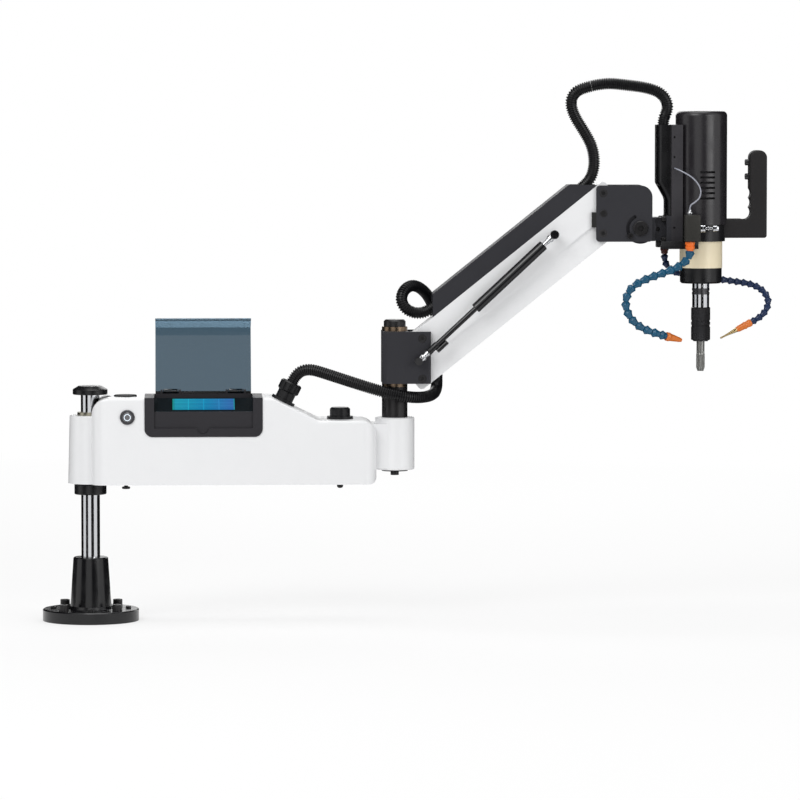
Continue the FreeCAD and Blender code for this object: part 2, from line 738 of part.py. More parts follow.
def power_button():
    front = CASE_FRONT - 4 - POWER_PROUD + 1
    button = crosswise(POWER_DIA, POWER_X, POWER_Z, front, front + 18)
    return button.makeChamfer(1, [e for e in button.Edges if e.Closed and e.CenterOfMass.y < front + 1])


def hex_prism(across, start, direction, length):
    circle = Part.makeCircle(across / 2, start, direction)
    return Part.Face(Part.makePolygon(circle.discretize(7))).extrude(direction * length)


def conduit_gland():
    """Gland on the slope: flange, body and clamping nut, bored for the conduit."""
    foot, outward = slope_frame()
    body_end = GLAND_FLANGE + GLAND_BODY
    nut_end = body_end + GLAND_NUT_LENGTH
    gland = rod(GLAND_FLANGE_DIA, foot, foot + outward * GLAND_FLANGE)
    gland = gland.fuse(rod(GLAND_BODY_DIA, foot + outward * GLAND_FLANGE, foot + outward * body_end))
    nut = rod(GLAND_NUT_DIA, foot + outward * body_end, foot + outward * nut_end)
    nut = nut.makeChamfer(2.5, [e for e in nut.Edges if e.Closed])
    for turn in range(NUT_GRIPS):
        groove = rod(4, foot + outward * (body_end + 3), foot + outward * (nut_end - 3))
        groove.translate(vec(0, GLAND_NUT_DIA / 2, 0))
        groove.rotate(foot, outward, turn * 360 / NUT_GRIPS)
        nut = nut.cut(groove)
    gland = gland.fuse(nut)
    return gland.cut(rod(CONDUIT_DIA - 4, foot - outward, foot + outward * (nut_end + 1)))


NUT_GRIPS = 12


def blank_gland():
    base = upright(BLANK_FLANGE_DIA, BLANK_X, CASE_LOW_TOP, CASE_LOW_TOP + BLANK_FLANGE)
    cap_top = CASE_LOW_TOP + BLANK_FLANGE + BLANK_CAP_HEIGHT
    cap = upright(BLANK_CAP_DIA, BLANK_X, CASE_LOW_TOP + BLANK_FLANGE, cap_top)
    cap = cap.makeChamfer(3, [e for e in cap.Edges if e.Closed and e.CenterOfMass.z > cap_top - 1])
    return base.fuse(cap)


def mains_inlet():
    """Gland of the supply cable on the back of the housing."""
    back = CASE_BACK
    seat = crosswise(INLET_DIA, INLET_X, INLET_Z, back - CASE_WALL, back)
    nut = crosswise(INLET_DIA + 8, INLET_X, INLET_Z, back, back + 6)
    spout = crosswise(INLET_DIA - 6, INLET_X, INLET_Z, back + 6, back + 24)
    spout = spout.makeChamfer(3, [e for e in spout.Edges if e.Closed and e.CenterOfMass.y > back + 20])
    bore = crosswise(9, INLET_X, INLET_Z, back - CASE_WALL - 1, back + 30)
    return seat.fuse([nut, spout]).cut(bore)


DRIVE_LEFT = 330.0
DRIVE_LENGTH = 150.0
DRIVE_WIDTH = 90.0
DRIVE_HEIGHT = 80.0
DRIVE_FINS = 8
SUPPLY_LEFT = 90.0
SUPPLY_LENGTH = 200.0
SUPPLY_HEIGHT = 45.0


def servo_drive():
    """Drive unit with a row of cooling fins, standing on the bottom cover."""
    floor = CASE_BOTTOM + COVER_THICK
    half = DRIVE_WIDTH / 2
    unit = block(DRIVE_LEFT, DRIVE_LEFT + DRIVE_LENGTH, -half, half, floor, floor + DRIVE_HEIGHT)
    pitch = DRIVE_LENGTH / DRIVE_FINS
    for i in range(DRIVE_FINS):
        x = DRIVE_LEFT + (i + 0.25) * pitch
        unit = unit.cut(block(x, x + pitch / 2, half - 15, half + 1, floor + 5, floor + DRIVE_HEIGHT + 1))
    return unit


def power_supply():
    floor = CASE_BOTTOM + COVER_THICK
    half = DRIVE_WIDTH / 2
    return block(SUPPLY_LEFT, SUPPLY_LEFT + SUPPLY_LENGTH, -half, half, floor, floor + SUPPLY_HEIGHT)


# ---------------------------------------------------------------- console
def hinge_places():
    """Middles of the two lid hinges."""
    middle = (TRAY_LEFT + TRAY_RIGHT) / 2
    return [middle - LID_WIDTH * 0.34, middle + LID_WIDTH * 0.34]


def console_bezel():
    """Front and tray in one moulding, open where the lid's lip and the hand go."""
    body = console_envelope()
    recess_back = BEZEL_FRONT + LIP_RECESS
    recess = block(TRAY_LEFT, TRAY_RIGHT, BEZEL_FRONT - 1, recess_back, LIP_RECESS_FOOT, BEZEL_TOP + 1)
    notch = crosswise(2 * NOTCH_RADIUS, NOTCH_X, LIP_RECESS_FOOT, BEZEL_FRONT - 1, recess_back)
    tray_back = BEZEL_BACK - TRAY_BACK
    tray = block(TRAY_LEFT, TRAY_RIGHT, BEZEL_FRONT - 1, tray_back, TRAY_TOP_OF_FLOOR, BEZEL_TOP + 1)
    body = body.cut([recess, notch, tray])
    for middle in hinge_places():
        for side in (-1, 1):
            body = body.fuse(hinge_lug(middle, side))
    for middle in hinge_places():
        body = body.cut(hinge_rod(middle, HINGE_PIN_DIA + 2 * RUNNING_FIT, 2 * HINGE_LUG))
    return body


def hinge_lug(middle, side):
    """One lug beside a barrel of the lid."""
    inner = middle + side * (HINGE_BARREL_LENGTH / 2 + SLIP_GAP)
    outer = inner + side * HINGE_LUG
    half = HINGE_BARREL_DIA / 2
    foot = block(min(inner, outer), max(inner, outer), HINGE_Y - half, BEZEL_BACK, CASE_TOP, HINGE_Z)
    eye = rod(HINGE_BARREL_DIA, vec(inner, HINGE_Y, HINGE_Z), vec(outer, HINGE_Y, HINGE_Z))
    return foot.fuse(eye)


def hinge_rod(middle, diameter, extra):
    half = HINGE_BARREL_LENGTH / 2 + extra
    return rod(diameter, vec(middle - half, HINGE_Y, HINGE_Z), vec(middle + half, HINGE_Y, HINGE_Z))


def control_panel():
    """Wedge in the tray that carries the display, with a pocket for it."""
    front = BEZEL_INNER
    rise = PANEL_DEPTH * math.tan(math.radians(PANEL_TILT))
    floor = TRAY_TOP_OF_FLOOR
    wedge = end_profile(
        [(front, floor, 0), (front + PANEL_DEPTH, floor, 0), (front + PANEL_DEPTH, floor + rise, 2)],
        TRAY_LEFT,
        TRAY_RIGHT,
    )
    return wedge.cut(display())


def display():
    """Screen module, sunk by half its thickness in the sloping panel."""
    middle = (TRAY_LEFT + TRAY_RIGHT) / 2
    half = DISPLAY_WIDTH / 2
    margin = (PANEL_DEPTH - DISPLAY_DEPTH) / 2
    front = BEZEL_INNER
    floor = TRAY_TOP_OF_FLOOR
    low = floor - DISPLAY_THICK / 2
    slab = block(middle - half, middle + half, front + margin, front + margin + DISPLAY_DEPTH, low, low + DISPLAY_THICK)
    slab.rotate(vec(0, front, floor), X_AXIS, PANEL_TILT)
    return slab


def console_lid():
    """Clear panel with a folded lip and two hinge barrels, turned to its open place."""
    middle = (TRAY_LEFT + TRAY_RIGHT) / 2
    left = middle - LID_WIDTH / 2
    right = middle + LID_WIDTH / 2
    inner = BEZEL_FRONT + LIP_RECESS - SLIP_GAP
    front = inner - LID_THICK
    low = HINGE_Z - HINGE_BARREL_DIA / 2 + 1.5
    top = low + LID_THICK
    bend = LID_THICK + 1.5
    panel = end_profile(
        [
            (HINGE_Y, low, 0),
            (HINGE_Y, top, 0),
            (front, top, bend),
            (front, top - LID_LIP, 0),
            (inner, top - LID_LIP, 0),
            (inner, low, 1.5),
        ],
        left,
        right,
    )
    for place in hinge_places():
        panel = panel.cut(hinge_rod(place, 2 * HINGE_BARREL_DIA, HINGE_LUG + 2 * SLIP_GAP))
    for place in hinge_places():
        half = HINGE_BARREL_LENGTH / 2
        leaf = block(place - half, place + half, HINGE_Y - 2 * HINGE_BARREL_DIA, HINGE_Y, low, top)
        panel = panel.fuse(leaf).fuse(hinge_rod(place, HINGE_BARREL_DIA, 0))
        panel = panel.fuse(hinge_rod(place, HINGE_PIN_DIA, HINGE_LUG))
    panel.rotate(vec(0, HINGE_Y, HINGE_Z), X_AXIS, -LID_OPEN)
    return panel


# ---------------------------------------------------------------- elbow
ELBOW_BUSH_WALL = 3.0
SHAFT_TOP = BLOCK_TOP + ELBOW_RING + SLIP_GAP


def elbow_shaft():
    """Shaft through the boss of the housing, with the sleeve that carries the elbow block."""
    shaft = upright(ELBOW_SHAFT_DIA, ELBOW_X, ELBOW_BOSS_FOOT, SHAFT_TOP)
    sleeve = upright(ELBOW_SLEEVE_DIA, ELBOW_X, ELBOW_BOSS_TOP, ELBOW_SLEEVE_TOP)
    return shaft.fuse(sleeve)


def elbow_caps():
    """Cap on top of the shaft, washer and screw below it."""
    top = upright(TOP_CAP_DIA, ELBOW_X, SHAFT_TOP, SHAFT_TOP + TOP_CAP_HEIGHT)
    top = top.makeChamfer(3, [e for e in top.Edges if e.Closed and e.CenterOfMass.z > SHAFT_TOP + 1])
    washer_foot = ELBOW_BOSS_FOOT - ELBOW_CAP_THICK
    washer = upright(ELBOW_CAP_DIA, ELBOW_X, washer_foot, ELBOW_BOSS_FOOT)
    screw = upright(ELBOW_SCREW_DIA, ELBOW_X, washer_foot - ELBOW_SCREW_HEIGHT, washer_foot)
    return Part.makeCompound([top, washer.fuse(screw)])


def elbow_block():
    """Forked block that swings on the elbow shaft and carries both links."""
    half = BLOCK_DEPTH / 2
    body = plan_profile(
        [
            (BLOCK_LEFT, -half, 0),
            (BLOCK_RIGHT, -half, 5),
            (BLOCK_RIGHT, half, 5),
            (BLOCK_LEFT, half, 0),
        ],
        BLOCK_FOOT,
        BLOCK_TOP,
    )
    left_edges = [e for e in body.Edges if abs(e.CenterOfMass.x - BLOCK_LEFT) < 1 and abs(e.CenterOfMass.y) > half - 1]
    body = body.makeChamfer(BLOCK_CHAMFER, left_edges)
    body = body.cut(block(FORK_START, BLOCK_RIGHT + 5, -FORK_HALF, FORK_HALF, BLOCK_FOOT - 1, BLOCK_TOP + 1))
    bore = ELBOW_SHAFT_DIA + 2 * ELBOW_BUSH_WALL
    body = body.cut(upright(bore, ELBOW_X, BLOCK_FOOT - 1, BLOCK_TOP + 1))
    for height in (UPPER_PIVOT_Z, LOWER_PIVOT_Z):
        body = body.cut(crosswise(PIN_DIA, PIVOT_X, height, -half - 1, half + 1))
    return body


def elbow_bushes():
    outer = ELBOW_SHAFT_DIA + 2 * ELBOW_BUSH_WALL
    bore = ELBOW_SHAFT_DIA + 2 * RUNNING_FIT
    length = ELBOW_SHAFT_DIA
    foot = ELBOW_SLEEVE_TOP + SLIP_GAP
    lower = upright(outer, ELBOW_X, BLOCK_FOOT, BLOCK_FOOT + length)
    lower = lower.fuse(upright(ELBOW_SLEEVE_DIA, ELBOW_X, foot, BLOCK_FOOT))
    upper = upright(outer, ELBOW_X, BLOCK_TOP - length, BLOCK_TOP)
    upper = upper.fuse(upright(ELBOW_SLEEVE_DIA, ELBOW_X, BLOCK_TOP, BLOCK_TOP + ELBOW_RING))
    hole = upright(bore, ELBOW_X, foot - 1, SHAFT_TOP + 5)
    return Part.makeCompound([lower.cut(hole), upper.cut(hole)])


PIN_RECESS = 3.0


def cross_pin(x, z, reach, socket):
    """Pin across the arm with a key recess in each end."""
    pin = crosswise(PIN_DIA, x, z, -reach, reach)
    for side in (-1, 1):
        pin = pin.cut(hex_socket(socket, vec(x, side * reach, z), 4, Y_AXIS * -side))
    return pin


def elbow_pins():
    reach = BLOCK_DEPTH / 2 - PIN_RECESS
    pins = [cross_pin(PIVOT_X, z, reach, PIN_DIA / 2) for z in (UPPER_PIVOT_Z, LOWER_PIVOT_Z)]
    return Part.makeCompound(pins)


def elbow_stud():
    """Stud for the lower eye of the gas strut, screwed to the near cheek."""
    x, z = STRUT_LOW
    return strut_stud(x, z, -BLOCK_DEPTH / 2, STUD_DIA + 6)


def strut_stud(x, z, seat, head_dia):
    near = STRUT_Y + EYE_WIDTH / 2 + SLIP_GAP
    far = STRUT_Y - EYE_WIDTH / 2 - SLIP_GAP
    collar = crosswise(STUD_DIA + 6, x, z, near, seat)
    pin = crosswise(STUD_DIA, x, z, far, near)
    head = crosswise(head_dia, x, z, far - PIN_HEAD, far)
    return collar.fuse([pin, head])


# ---------------------------------------------------------------- parallelogram arm
LINK_END = 16.0             # how far a link goes past its pivots


def channel(outline_outer, outline_inner, pivot_z, width):
    """Folded channel: an outline less the space between its two side walls."""
    half = width / 2
    outer = link_profile(pivot_z, outline_outer, -half, half)
    inner = link_profile(pivot_z, outline_inner, LINK_WALL - half, half - LINK_WALL)
    return outer.cut(inner)


def upper_link():
    """Upper channel, open below, with the eyes of both upper pivots."""
    low = -UPPER_BELOW
    end = LINK_LENGTH + LINK_END
    outer = [
        (-LINK_END, UPPER_ABOVE, 8),
        (-LINK_END, low, 4),
        (end - 12, low, 4),
        (end, -UPPER_ABOVE, 8),
        (end, UPPER_ABOVE, 8),
    ]
    inside_top = UPPER_ABOVE - LINK_WALL
    inner = [
        (-LINK_END - 5, inside_top, 0),
        (-LINK_END - 5, low - 5, 0),
        (end + 5, low - 5, 0),
        (end + 5, inside_top, 0),
    ]
    body = channel(outer, inner, UPPER_PIVOT_Z, UPPER_WIDTH)
    return drill_link(body, UPPER_PIVOT_Z, UPPER_WIDTH)


def drill_link(body, pivot_z, width):
    bore = PIN_DIA + 2 * RUNNING_FIT
    half = width / 2 + 1
    for along in (0, LINK_LENGTH):
        place = link_point(PIVOT_X, pivot_z, along, 0)
        body = body.cut(crosswise(bore, place.x, place.z, -half, half))
    return body


def lower_link():
    """Lower channel, open above, nested between the walls of the upper one."""
    end = LINK_LENGTH + LINK_END
    high = LOWER_ABOVE
    low = -LOWER_BELOW
    outer = [
        (-LINK_END, low, 8),
        (end, low, 8),
        (end, LOWER_BELOW, 8),
        (LINK_LENGTH - 12, high, 6),
        (12, high, 6),
        (-LINK_END, LOWER_BELOW, 8),
    ]
    inner = [
        (-LINK_END - 5, low + LINK_WALL, 0),
        (end + 5, low + LINK_WALL, 0),
        (end + 5, high + 5, 0),
        (-LINK_END - 5, high + 5, 0),
    ]
    body = channel(outer, inner, LOWER_PIVOT_Z, LOWER_WIDTH)
    return drill_link(body, LOWER_PIVOT_Z, LOWER_WIDTH)


COVER_START_X = 640.0       # vertical cut at the lower end of the cable cover
COVER_END_Z = 815.0         # level cut at its upper end


def along_at_x(x, across):
    return (x - PIVOT_X + across * LINK_SIN) / LINK_COS


def along_at_z(z, across):
    return (z - UPPER_PIVOT_Z - across * LINK_COS) / LINK_SIN


def cable_cover():
    """Hood along the top of the upper link, open at both ends for the conduit."""
    low = UPPER_ABOVE
    high = UPPER_ABOVE + COVER_HEIGHT
    roof = high - COVER_WALL
    outer = [
        (along_at_x(COVER_START_X, low), low, 0),
        (along_at_z(COVER_END_Z, low), low, 0),
        (along_at_z(COVER_END_Z, high), high, 3),
        (along_at_x(COVER_START_X, high), high, 3),
    ]
    inner = [(-50, low - 1, 0), (LINK_LENGTH + 50, low - 1, 0), (LINK_LENGTH + 50, roof, 0), (-50, roof, 0)]
    half = COVER_WIDTH / 2
    hood = link_profile(UPPER_PIVOT_Z, outer, -half, half)
    return hood.cut(link_profile(UPPER_PIVOT_Z, inner, COVER_WALL - half, half - COVER_WALL))


def link_stud():
    """Stud for the upper eye of the gas strut; its wide head covers the eye."""
    x, z = STRUT_HIGH
    return strut_stud(x, z, -UPPER_WIDTH / 2, STUD_DIA + 2 * STUD_CLEAR + 5)


# ---------------------------------------------------------------- gas strut
STRUT_START = FreeCAD.Vector(STRUT_LOW[0], STRUT_Y, STRUT_LOW[1])
STRUT_FINISH = FreeCAD.Vector(STRUT_HIGH[0], STRUT_Y, STRUT_HIGH[1])
STRUT_LINE = (STRUT_FINISH - STRUT_START).normalize()
STRUT_GLAND = 12.0
STRUT_STROKE_END = 38.0     # piston to upper end of the cylinder at rest
PISTON_LENGTH = 8.0
LOW_EYE_DIA = 16.0


def strut_place(distance):
    return STRUT_START + STRUT_LINE * distance


def eye(centre, outer, bore):
    half = Y_AXIS * (EYE_WIDTH / 2)
    return rod(outer, centre - half, centre + half), rod(bore, centre - half * 2, centre + half * 2)


def strut_rod():
    """Polished rod with its lower eye and its piston."""
    ring, hole = eye(STRUT_START, LOW_EYE_DIA, STUD_DIA + 2 * RUNNING_FIT)
    piston_end = STRUT_CYLINDER_END - STRUT_STROKE_END
    body = ring.fuse(rod(EYE_WIDTH - 1, STRUT_START, strut_place(LOW_EYE_DIA)))
    body = body.fuse(rod(STRUT_ROD_DIA, STRUT_START, strut_place(piston_end)))
    piston_dia = STRUT_CYLINDER_DIA - 4
    body = body.fuse(rod(piston_dia - 0.6, strut_place(piston_end - PISTON_LENGTH), strut_place(piston_end)))
    return body.cut(hole)


def strut_cylinder():
    """Pressure tube with its gland and its upper eye, which has play on the stud."""
    tube = rod(STRUT_CYLINDER_DIA, strut_place(STRUT_CYLINDER_START), strut_place(STRUT_CYLINDER_END))
    tube = tube.makeChamfer(1.5, [e for e in tube.Edges if e.Closed])
    bore_start = strut_place(STRUT_CYLINDER_START + STRUT_GLAND)
    tube = tube.cut(rod(STRUT_CYLINDER_DIA - 4, bore_start, strut_place(STRUT_CYLINDER_END - 4)))
    rod_hole = STRUT_ROD_DIA + 2 * RUNNING_FIT
    tube = tube.cut(rod(rod_hole, strut_place(STRUT_CYLINDER_START - 1), bore_start))
    bore = STUD_DIA + 2 * STUD_CLEAR
    ring, hole = eye(STRUT_FINISH, bore + 7, bore)
    neck = rod(STRUT_ROD_DIA + 2, strut_place(STRUT_CYLINDER_END), STRUT_FINISH)
    return tube.fuse([ring, neck]).cut(hole)


# ---------------------------------------------------------------- head frame
def clamp_place():
    turn = math.radians(SLOT_END)
    return TILT_X + SLOT_RADIUS * math.cos(turn), TILT_Z + SLOT_RADIUS * math.sin(turn)


def arc_slot(y_near, y_far):
    """Curved slot about the tilt pivot for the clamp screw."""
    half = SLOT_WIDTH / 2
    place = vec(TILT_X, y_near, TILT_Z)
    angles = [math.radians(SLOT_START), math.radians((SLOT_START + SLOT_END) / 2), math.radians(SLOT_END)]
    ends = []
    for radius in (SLOT_RADIUS + half, SLOT_RADIUS - half):
        ends.append([place + vec(math.cos(a), 0, math.sin(a)) * radius for a in angles])
    outside = Part.Arc(*ends[0]).toShape()
    inside = Part.Arc(*reversed(ends[1])).toShape()
    joins = [Part.makeLine(ends[0][2], ends[1][2]), Part.makeLine(ends[1][0], ends[0][0])]
    wire = Part.Wire([outside, joins[0], inside, joins[1]])
    slot = Part.Face(wire).extrude(vec(0, y_far - y_near, 0))
    for angle in (angles[0], angles[2]):
        middle = place + vec(math.cos(angle), 0, math.sin(angle)) * SLOT_RADIUS
        slot = slot.fuse(crosswise(SLOT_WIDTH, middle.x, middle.z, y_near, y_far))
    return slot


def head_plate(side):
    """Side plate that joins both links to the head; side -1 is the near one."""
    y_near = min(side * PLATE_INNER, side * PLATE_OUTER)
    y_far = y_near + PLATE_THICK
    plate = side_profile(
        [
            (PLATE_LEFT, PLATE_FOOT, PLATE_CORNER),
            (PLATE_RIGHT, PLATE_FOOT, PLATE_CORNER),
            (PLATE_RIGHT, PLATE_TOP, PLATE_TOP_CORNER),
            (PLATE_LEFT, PLATE_TOP, PLATE_CORNER),
        ],
        y_near,
        y_far,
    )
    for height in HEAD_PIN_HEIGHTS:
        plate = plate.cut(crosswise(PIN_DIA, HEAD_DATUM_X, height, y_near - 1, y_far + 1))
    plate = plate.cut(crosswise(TILT_PIN_DIA + 2 * RUNNING_FIT, TILT_X, TILT_Z, y_near - 1, y_far + 1))
    return plate.cut(arc_slot(y_near - 1, y_far + 1))


TILT_PIN_DIA = 14.0
STOP_LEFT = 936.6
STOP_FOOT = 736.0
STOP_HEIGHT = 28.0
SPACER_LEFT = 1000.0
SPACER_FOOT = 778.0
SPACER_SIZE = 26.0


def head_pins():
    pins = []
    for height in HEAD_PIN_HEIGHTS:
        pins.append(cross_pin(HEAD_DATUM_X, height, PLATE_OUTER, PIN_DIA / 2))
    return Part.makeCompound(pins)


def frame_spacer():
    """Block that joins the two side plates above the tilt bracket."""
    return block(
        SPACER_LEFT,
        SPACER_LEFT + SPACER_SIZE,
        -PLATE_INNER,
        PLATE_INNER,
        SPACER_FOOT,
        SPACER_FOOT + SPACER_SIZE,
    )


def stop_pads():
    """Rubber stops on the left edges of the side plates."""
    pads = []
    for side in (-1, 1):
        y_near = min(side * PLATE_INNER, side * PLATE_OUTER)
        pads.append(block(STOP_LEFT, PLATE_LEFT, y_near, y_near + PLATE_THICK, STOP_FOOT, STOP_FOOT + STOP_HEIGHT))
    return Part.makeCompound(pads)


# ---------------------------------------------------------------- head
NECK_LEFT = 1055.0
NECK_WIDTH = 40.0
BRACKET_DISC = 58.0
FLANGE_SCREW_DIA = 10.0
FLANGE_SCREW_HEAD = 9.0
FLANGE_SCREW_Y = 28.0
BRACKET_HOLE_X = 1062.0
DUCT_TAIL = BRACKET_TOP + FLANGE_MARGIN


def tilt_bracket():
    """Bracket that tilts between the side plates: a disc, a body and a neck."""
    half = PLATE_INNER - SLIP_GAP
    disc = crosswise(BRACKET_DISC, TILT_X, TILT_Z, -half, half)
    body = block(TILT_X, NECK_LEFT, -half, half, BRACKET_FOOT, BRACKET_TOP)
    neck = block(NECK_LEFT, BRACKET_RIGHT, -NECK_WIDTH / 2, NECK_WIDTH / 2, BRACKET_FOOT, BRACKET_TOP)
    shape = disc.fuse([body, neck])
    shape = shape.cut(crosswise(TILT_PIN_DIA, TILT_X, TILT_Z, -half - 1, half + 1))
    clamp_x, clamp_z = clamp_place()
    shape = shape.cut(crosswise(CLAMP_DIA, clamp_x, clamp_z, -half - 1, half + 1))
    hole_z = (BRACKET_FOOT + BRACKET_TOP) / 2
    return shape.cut(crosswise(BRACKET_HOLE, BRACKET_HOLE_X, hole_z, -half, half))


def tilt_pin():
    """Pin of the tilt with a round head outside each side plate."""
    face = PLATE_OUTER + SLIP_GAP
    pin = crosswise(TILT_PIN_DIA, TILT_X, TILT_Z, -face, face)
    for side in (-1, 1):
        head = crosswise(TILT_BOSS_DIA, TILT_X, TILT_Z, *sorted((side * face, side * (face + 5))))
        rim = [e for e in head.Edges if e.Closed and abs(e.CenterOfMass.y) > face + 1]
        pin = pin.fuse(head.makeChamfer(1.5, rim))
    for side in (-1, 1):
        pin = pin.cut(hex_socket(12, vec(TILT_X, side * (face + 5), TILT_Z), 4, Y_AXIS * -side))
    return pin


def clamp_screw():
    """Screw that clamps the tilt, running in the curved slots."""
    x, z = clamp_place()
    face = PLATE_OUTER + SLIP_GAP
    screw = crosswise(CLAMP_DIA, x, z, -face, face)
    for side in (-1, 1):
        screw = screw.fuse(crosswise(CLAMP_DIA + 5, x, z, *sorted((side * face, side * (face + 5)))))
    return screw.cut(hex_socket(6, vec(x, -face - 5, z), 3, Y_AXIS))


def flange_screw_places():
    low = BRACKET_FOOT + FLANGE_MARGIN
    high = BRACKET_TOP - FLANGE_MARGIN
    return [(y, z) for y in (-FLANGE_SCREW_Y, FLANGE_SCREW_Y) for z in (low, high)]


def bracket_flange():
    half = FLANGE_SCREW_Y + FLANGE_SCREW_DIA
    low = BRACKET_FOOT - FLANGE_MARGIN
    high = BRACKET_TOP + FLANGE_MARGIN
    plate = block(BRACKET_RIGHT, FLANGE_PLATE_RIGHT, -half, half, low, high)
    for y, z in flange_screw_places():
        plate = plate.cut(rod(FLANGE_SCREW_DIA / 2, vec(BRACKET_RIGHT - 1, y, z), vec(FLANGE_PLATE_RIGHT + 1, y, z)))
    return plate


def head_screws():
    screws = []
    length = FLANGE_PLATE_RIGHT - BRACKET_RIGHT
    for y, z in flange_screw_places():
        seat = vec(BRACKET_RIGHT, y, z)
        screws.append(socket_screw(FLANGE_SCREW_DIA, FLANGE_SCREW_HEAD, FLANGE_SCREW_DIA / 2, length, seat, X_AXIS * -1))
    return Part.makeCompound(screws)


OIL_HOLE_Z = 846.4
CARRIER_HOLES = (904.0, 867.0, OIL_HOLE_Z, 735.0)
CARRIER_HOLE_X = 1091.0
CARRIER_HOLE_DIA = 4.0


def head_round():
    """Outer form of the round head, used to seat what is fixed to its side."""
    cover = upright(MOTOR_DIA, HEAD_X, MOTOR_FOOT, MOTOR_TOP)
    ring = upright(RING_DIA, HEAD_X, SPINDLE_HOUSING_TOP, MOTOR_FOOT)
    housing = upright(SPINDLE_HOUSING_DIA, HEAD_X, NOSE_TOP, SPINDLE_HOUSING_TOP)
    return cover.fuse([ring, housing])


def carrier_plate():
    """Saddle that the motor and the spindle housing are fixed to."""
    half = CARRIER_WIDTH / 2
    plate = block(FLANGE_PLATE_RIGHT, CARRIER_RIGHT, -half, half, CARRIER_FOOT, CARRIER_TOP)
    plate = plate.cut(head_round())
    for height in CARRIER_HOLES:
        plate = plate.cut(crosswise(CARRIER_HOLE_DIA, CARRIER_HOLE_X, height, -half - 1, -half + 6))
    return plate


DUCT_WALL = 2.0
DUCT_X = 1073.0             # where the conduit goes in


def duct_form(inset, y_half):
    left = DUCT_LEFT + inset
    tail_left = BRACKET_RIGHT - 1 + inset
    form = side_profile(
        [
            (tail_left, DUCT_TAIL + inset, 0),
            (FLANGE_PLATE_RIGHT, DUCT_TAIL + inset, 0),
            (FLANGE_PLATE_RIGHT, CARRIER_TOP - inset, 0),
            (left, CARRIER_TOP - inset, 0),
            (left, DUCT_FOOT - inset / 2, 8),
            (tail_left, DUCT_FOOT - 30, 24),
        ],
        -y_half,
        y_half,
    )
    return form


def conduit_housing():
    """Folded cover that leads the conduit down to the head, open towards the carrier plate."""
    half = DUCT_WIDTH / 2
    form = duct_form(0, half)
    corners = [e for e in form.Edges if is_duct_corner(e)]
    form = form.makeFillet(10, corners)
    form = form.cut(duct_form(DUCT_WALL, half - DUCT_WALL))
    return form.cut(upright(CONDUIT_DIA + 2 * SLIP_GAP, DUCT_X, CARRIER_TOP - DUCT_WALL - 1, CARRIER_TOP + 1))


def is_duct_corner(edge):
    middle = edge.CenterOfMass
    tall = edge.BoundBox.ZMax - edge.BoundBox.ZMin > 50
    return tall and abs(middle.x - DUCT_LEFT) < 1


def motor_cover():
    """Round hood over the servo motor with vent slots on its near side."""
    radius = MOTOR_DIA / 2
    hood = upright(MOTOR_DIA, HEAD_X, MOTOR_FOOT, MOTOR_TOP)
    hood = hood.makeFillet(MOTOR_EDGE, [e for e in hood.Edges if e.Closed and e.CenterOfMass.z > MOTOR_TOP - 1])
    inside_top = MOTOR_TOP - MOTOR_WALL
    inside = upright(MOTOR_DIA - 2 * MOTOR_WALL, HEAD_X, MOTOR_FOOT - 1, inside_top)
    top_edge = [e for e in inside.Edges if e.Closed and e.CenterOfMass.z > inside_top - 1]
    hood = hood.cut(inside.makeFillet(MOTOR_EDGE - MOTOR_WALL, top_edge))
    vent_left = HEAD_X + VENT_SHIFT - VENT_WIDTH / 2
    for row in range(VENT_COUNT):
        low = VENT_LOW + row * VENT_PITCH
        hood = hood.cut(block(vent_left, vent_left + VENT_WIDTH, -radius - 1, -radius / 2, low, low + VENT_HEIGHT))
    return hood


VENT_SHIFT = 7.5
SERVO_WIDTH = 60.0
SERVO_HEIGHT = 140.0
COUPLING_BORE = 34.0
BEARING_DIA = 47.0
BEARING_WIDTH = 14.0
NOSE_BORE = 30.0


def servo_motor():
    half = SERVO_WIDTH / 2
    corners = [(HEAD_X - half, -half, 6), (HEAD_X + half, -half, 6), (HEAD_X + half, half, 6), (HEAD_X - half, half, 6)]
    return plan_profile(corners, MOTOR_FOOT, MOTOR_FOOT + SERVO_HEIGHT)


def motor_flange():
    ring = upright(RING_DIA, HEAD_X, SPINDLE_HOUSING_TOP, MOTOR_FOOT)
    return ring.cut(upright(COUPLING_BORE, HEAD_X, SPINDLE_HOUSING_TOP - 1, MOTOR_FOOT + 1))


def spindle_housing():
    body = upright(SPINDLE_HOUSING_DIA, HEAD_X, NOSE_TOP, SPINDLE_HOUSING_TOP)
    return body.cut(upright(BEARING_DIA, HEAD_X, NOSE_TOP - 1, SPINDLE_HOUSING_TOP + 1))


def spindle_bearings():
    rings = []
    for foot in (NOSE_TOP, SPINDLE_HOUSING_TOP - BEARING_WIDTH):
        ring = upright(BEARING_DIA, HEAD_X, foot, foot + BEARING_WIDTH)
        rings.append(ring.cut(upright(SPINDLE_DIA + 2 * RUNNING_FIT, HEAD_X, foot - 1, foot + BEARING_WIDTH + 1)))
    return Part.makeCompound(rings)


def nose_ring():
    ring = upright(NOSE_DIA, HEAD_X, NOSE_FOOT, NOSE_TOP)
    ring = ring.makeChamfer(3, [e for e in ring.Edges if e.Closed and e.CenterOfMass.z < NOSE_FOOT + 1])
    return ring.cut(upright(NOSE_BORE, HEAD_X, NOSE_FOOT - 1, NOSE_TOP + 1))


# ---------------------------------------------------------------- spindle, chuck and tap
SPINDLE_TOP = 735.0
HOLDER_DIA = 22.0
HOLDER_DEPTH = 30.0
HOLDER_COLLAR_DIA = 28.0
HOLDER_COLLAR = 6.0
GRIP_RING_DIA = 33.0
GRIP_RING_NECK = 27.0
FLUTES = 4


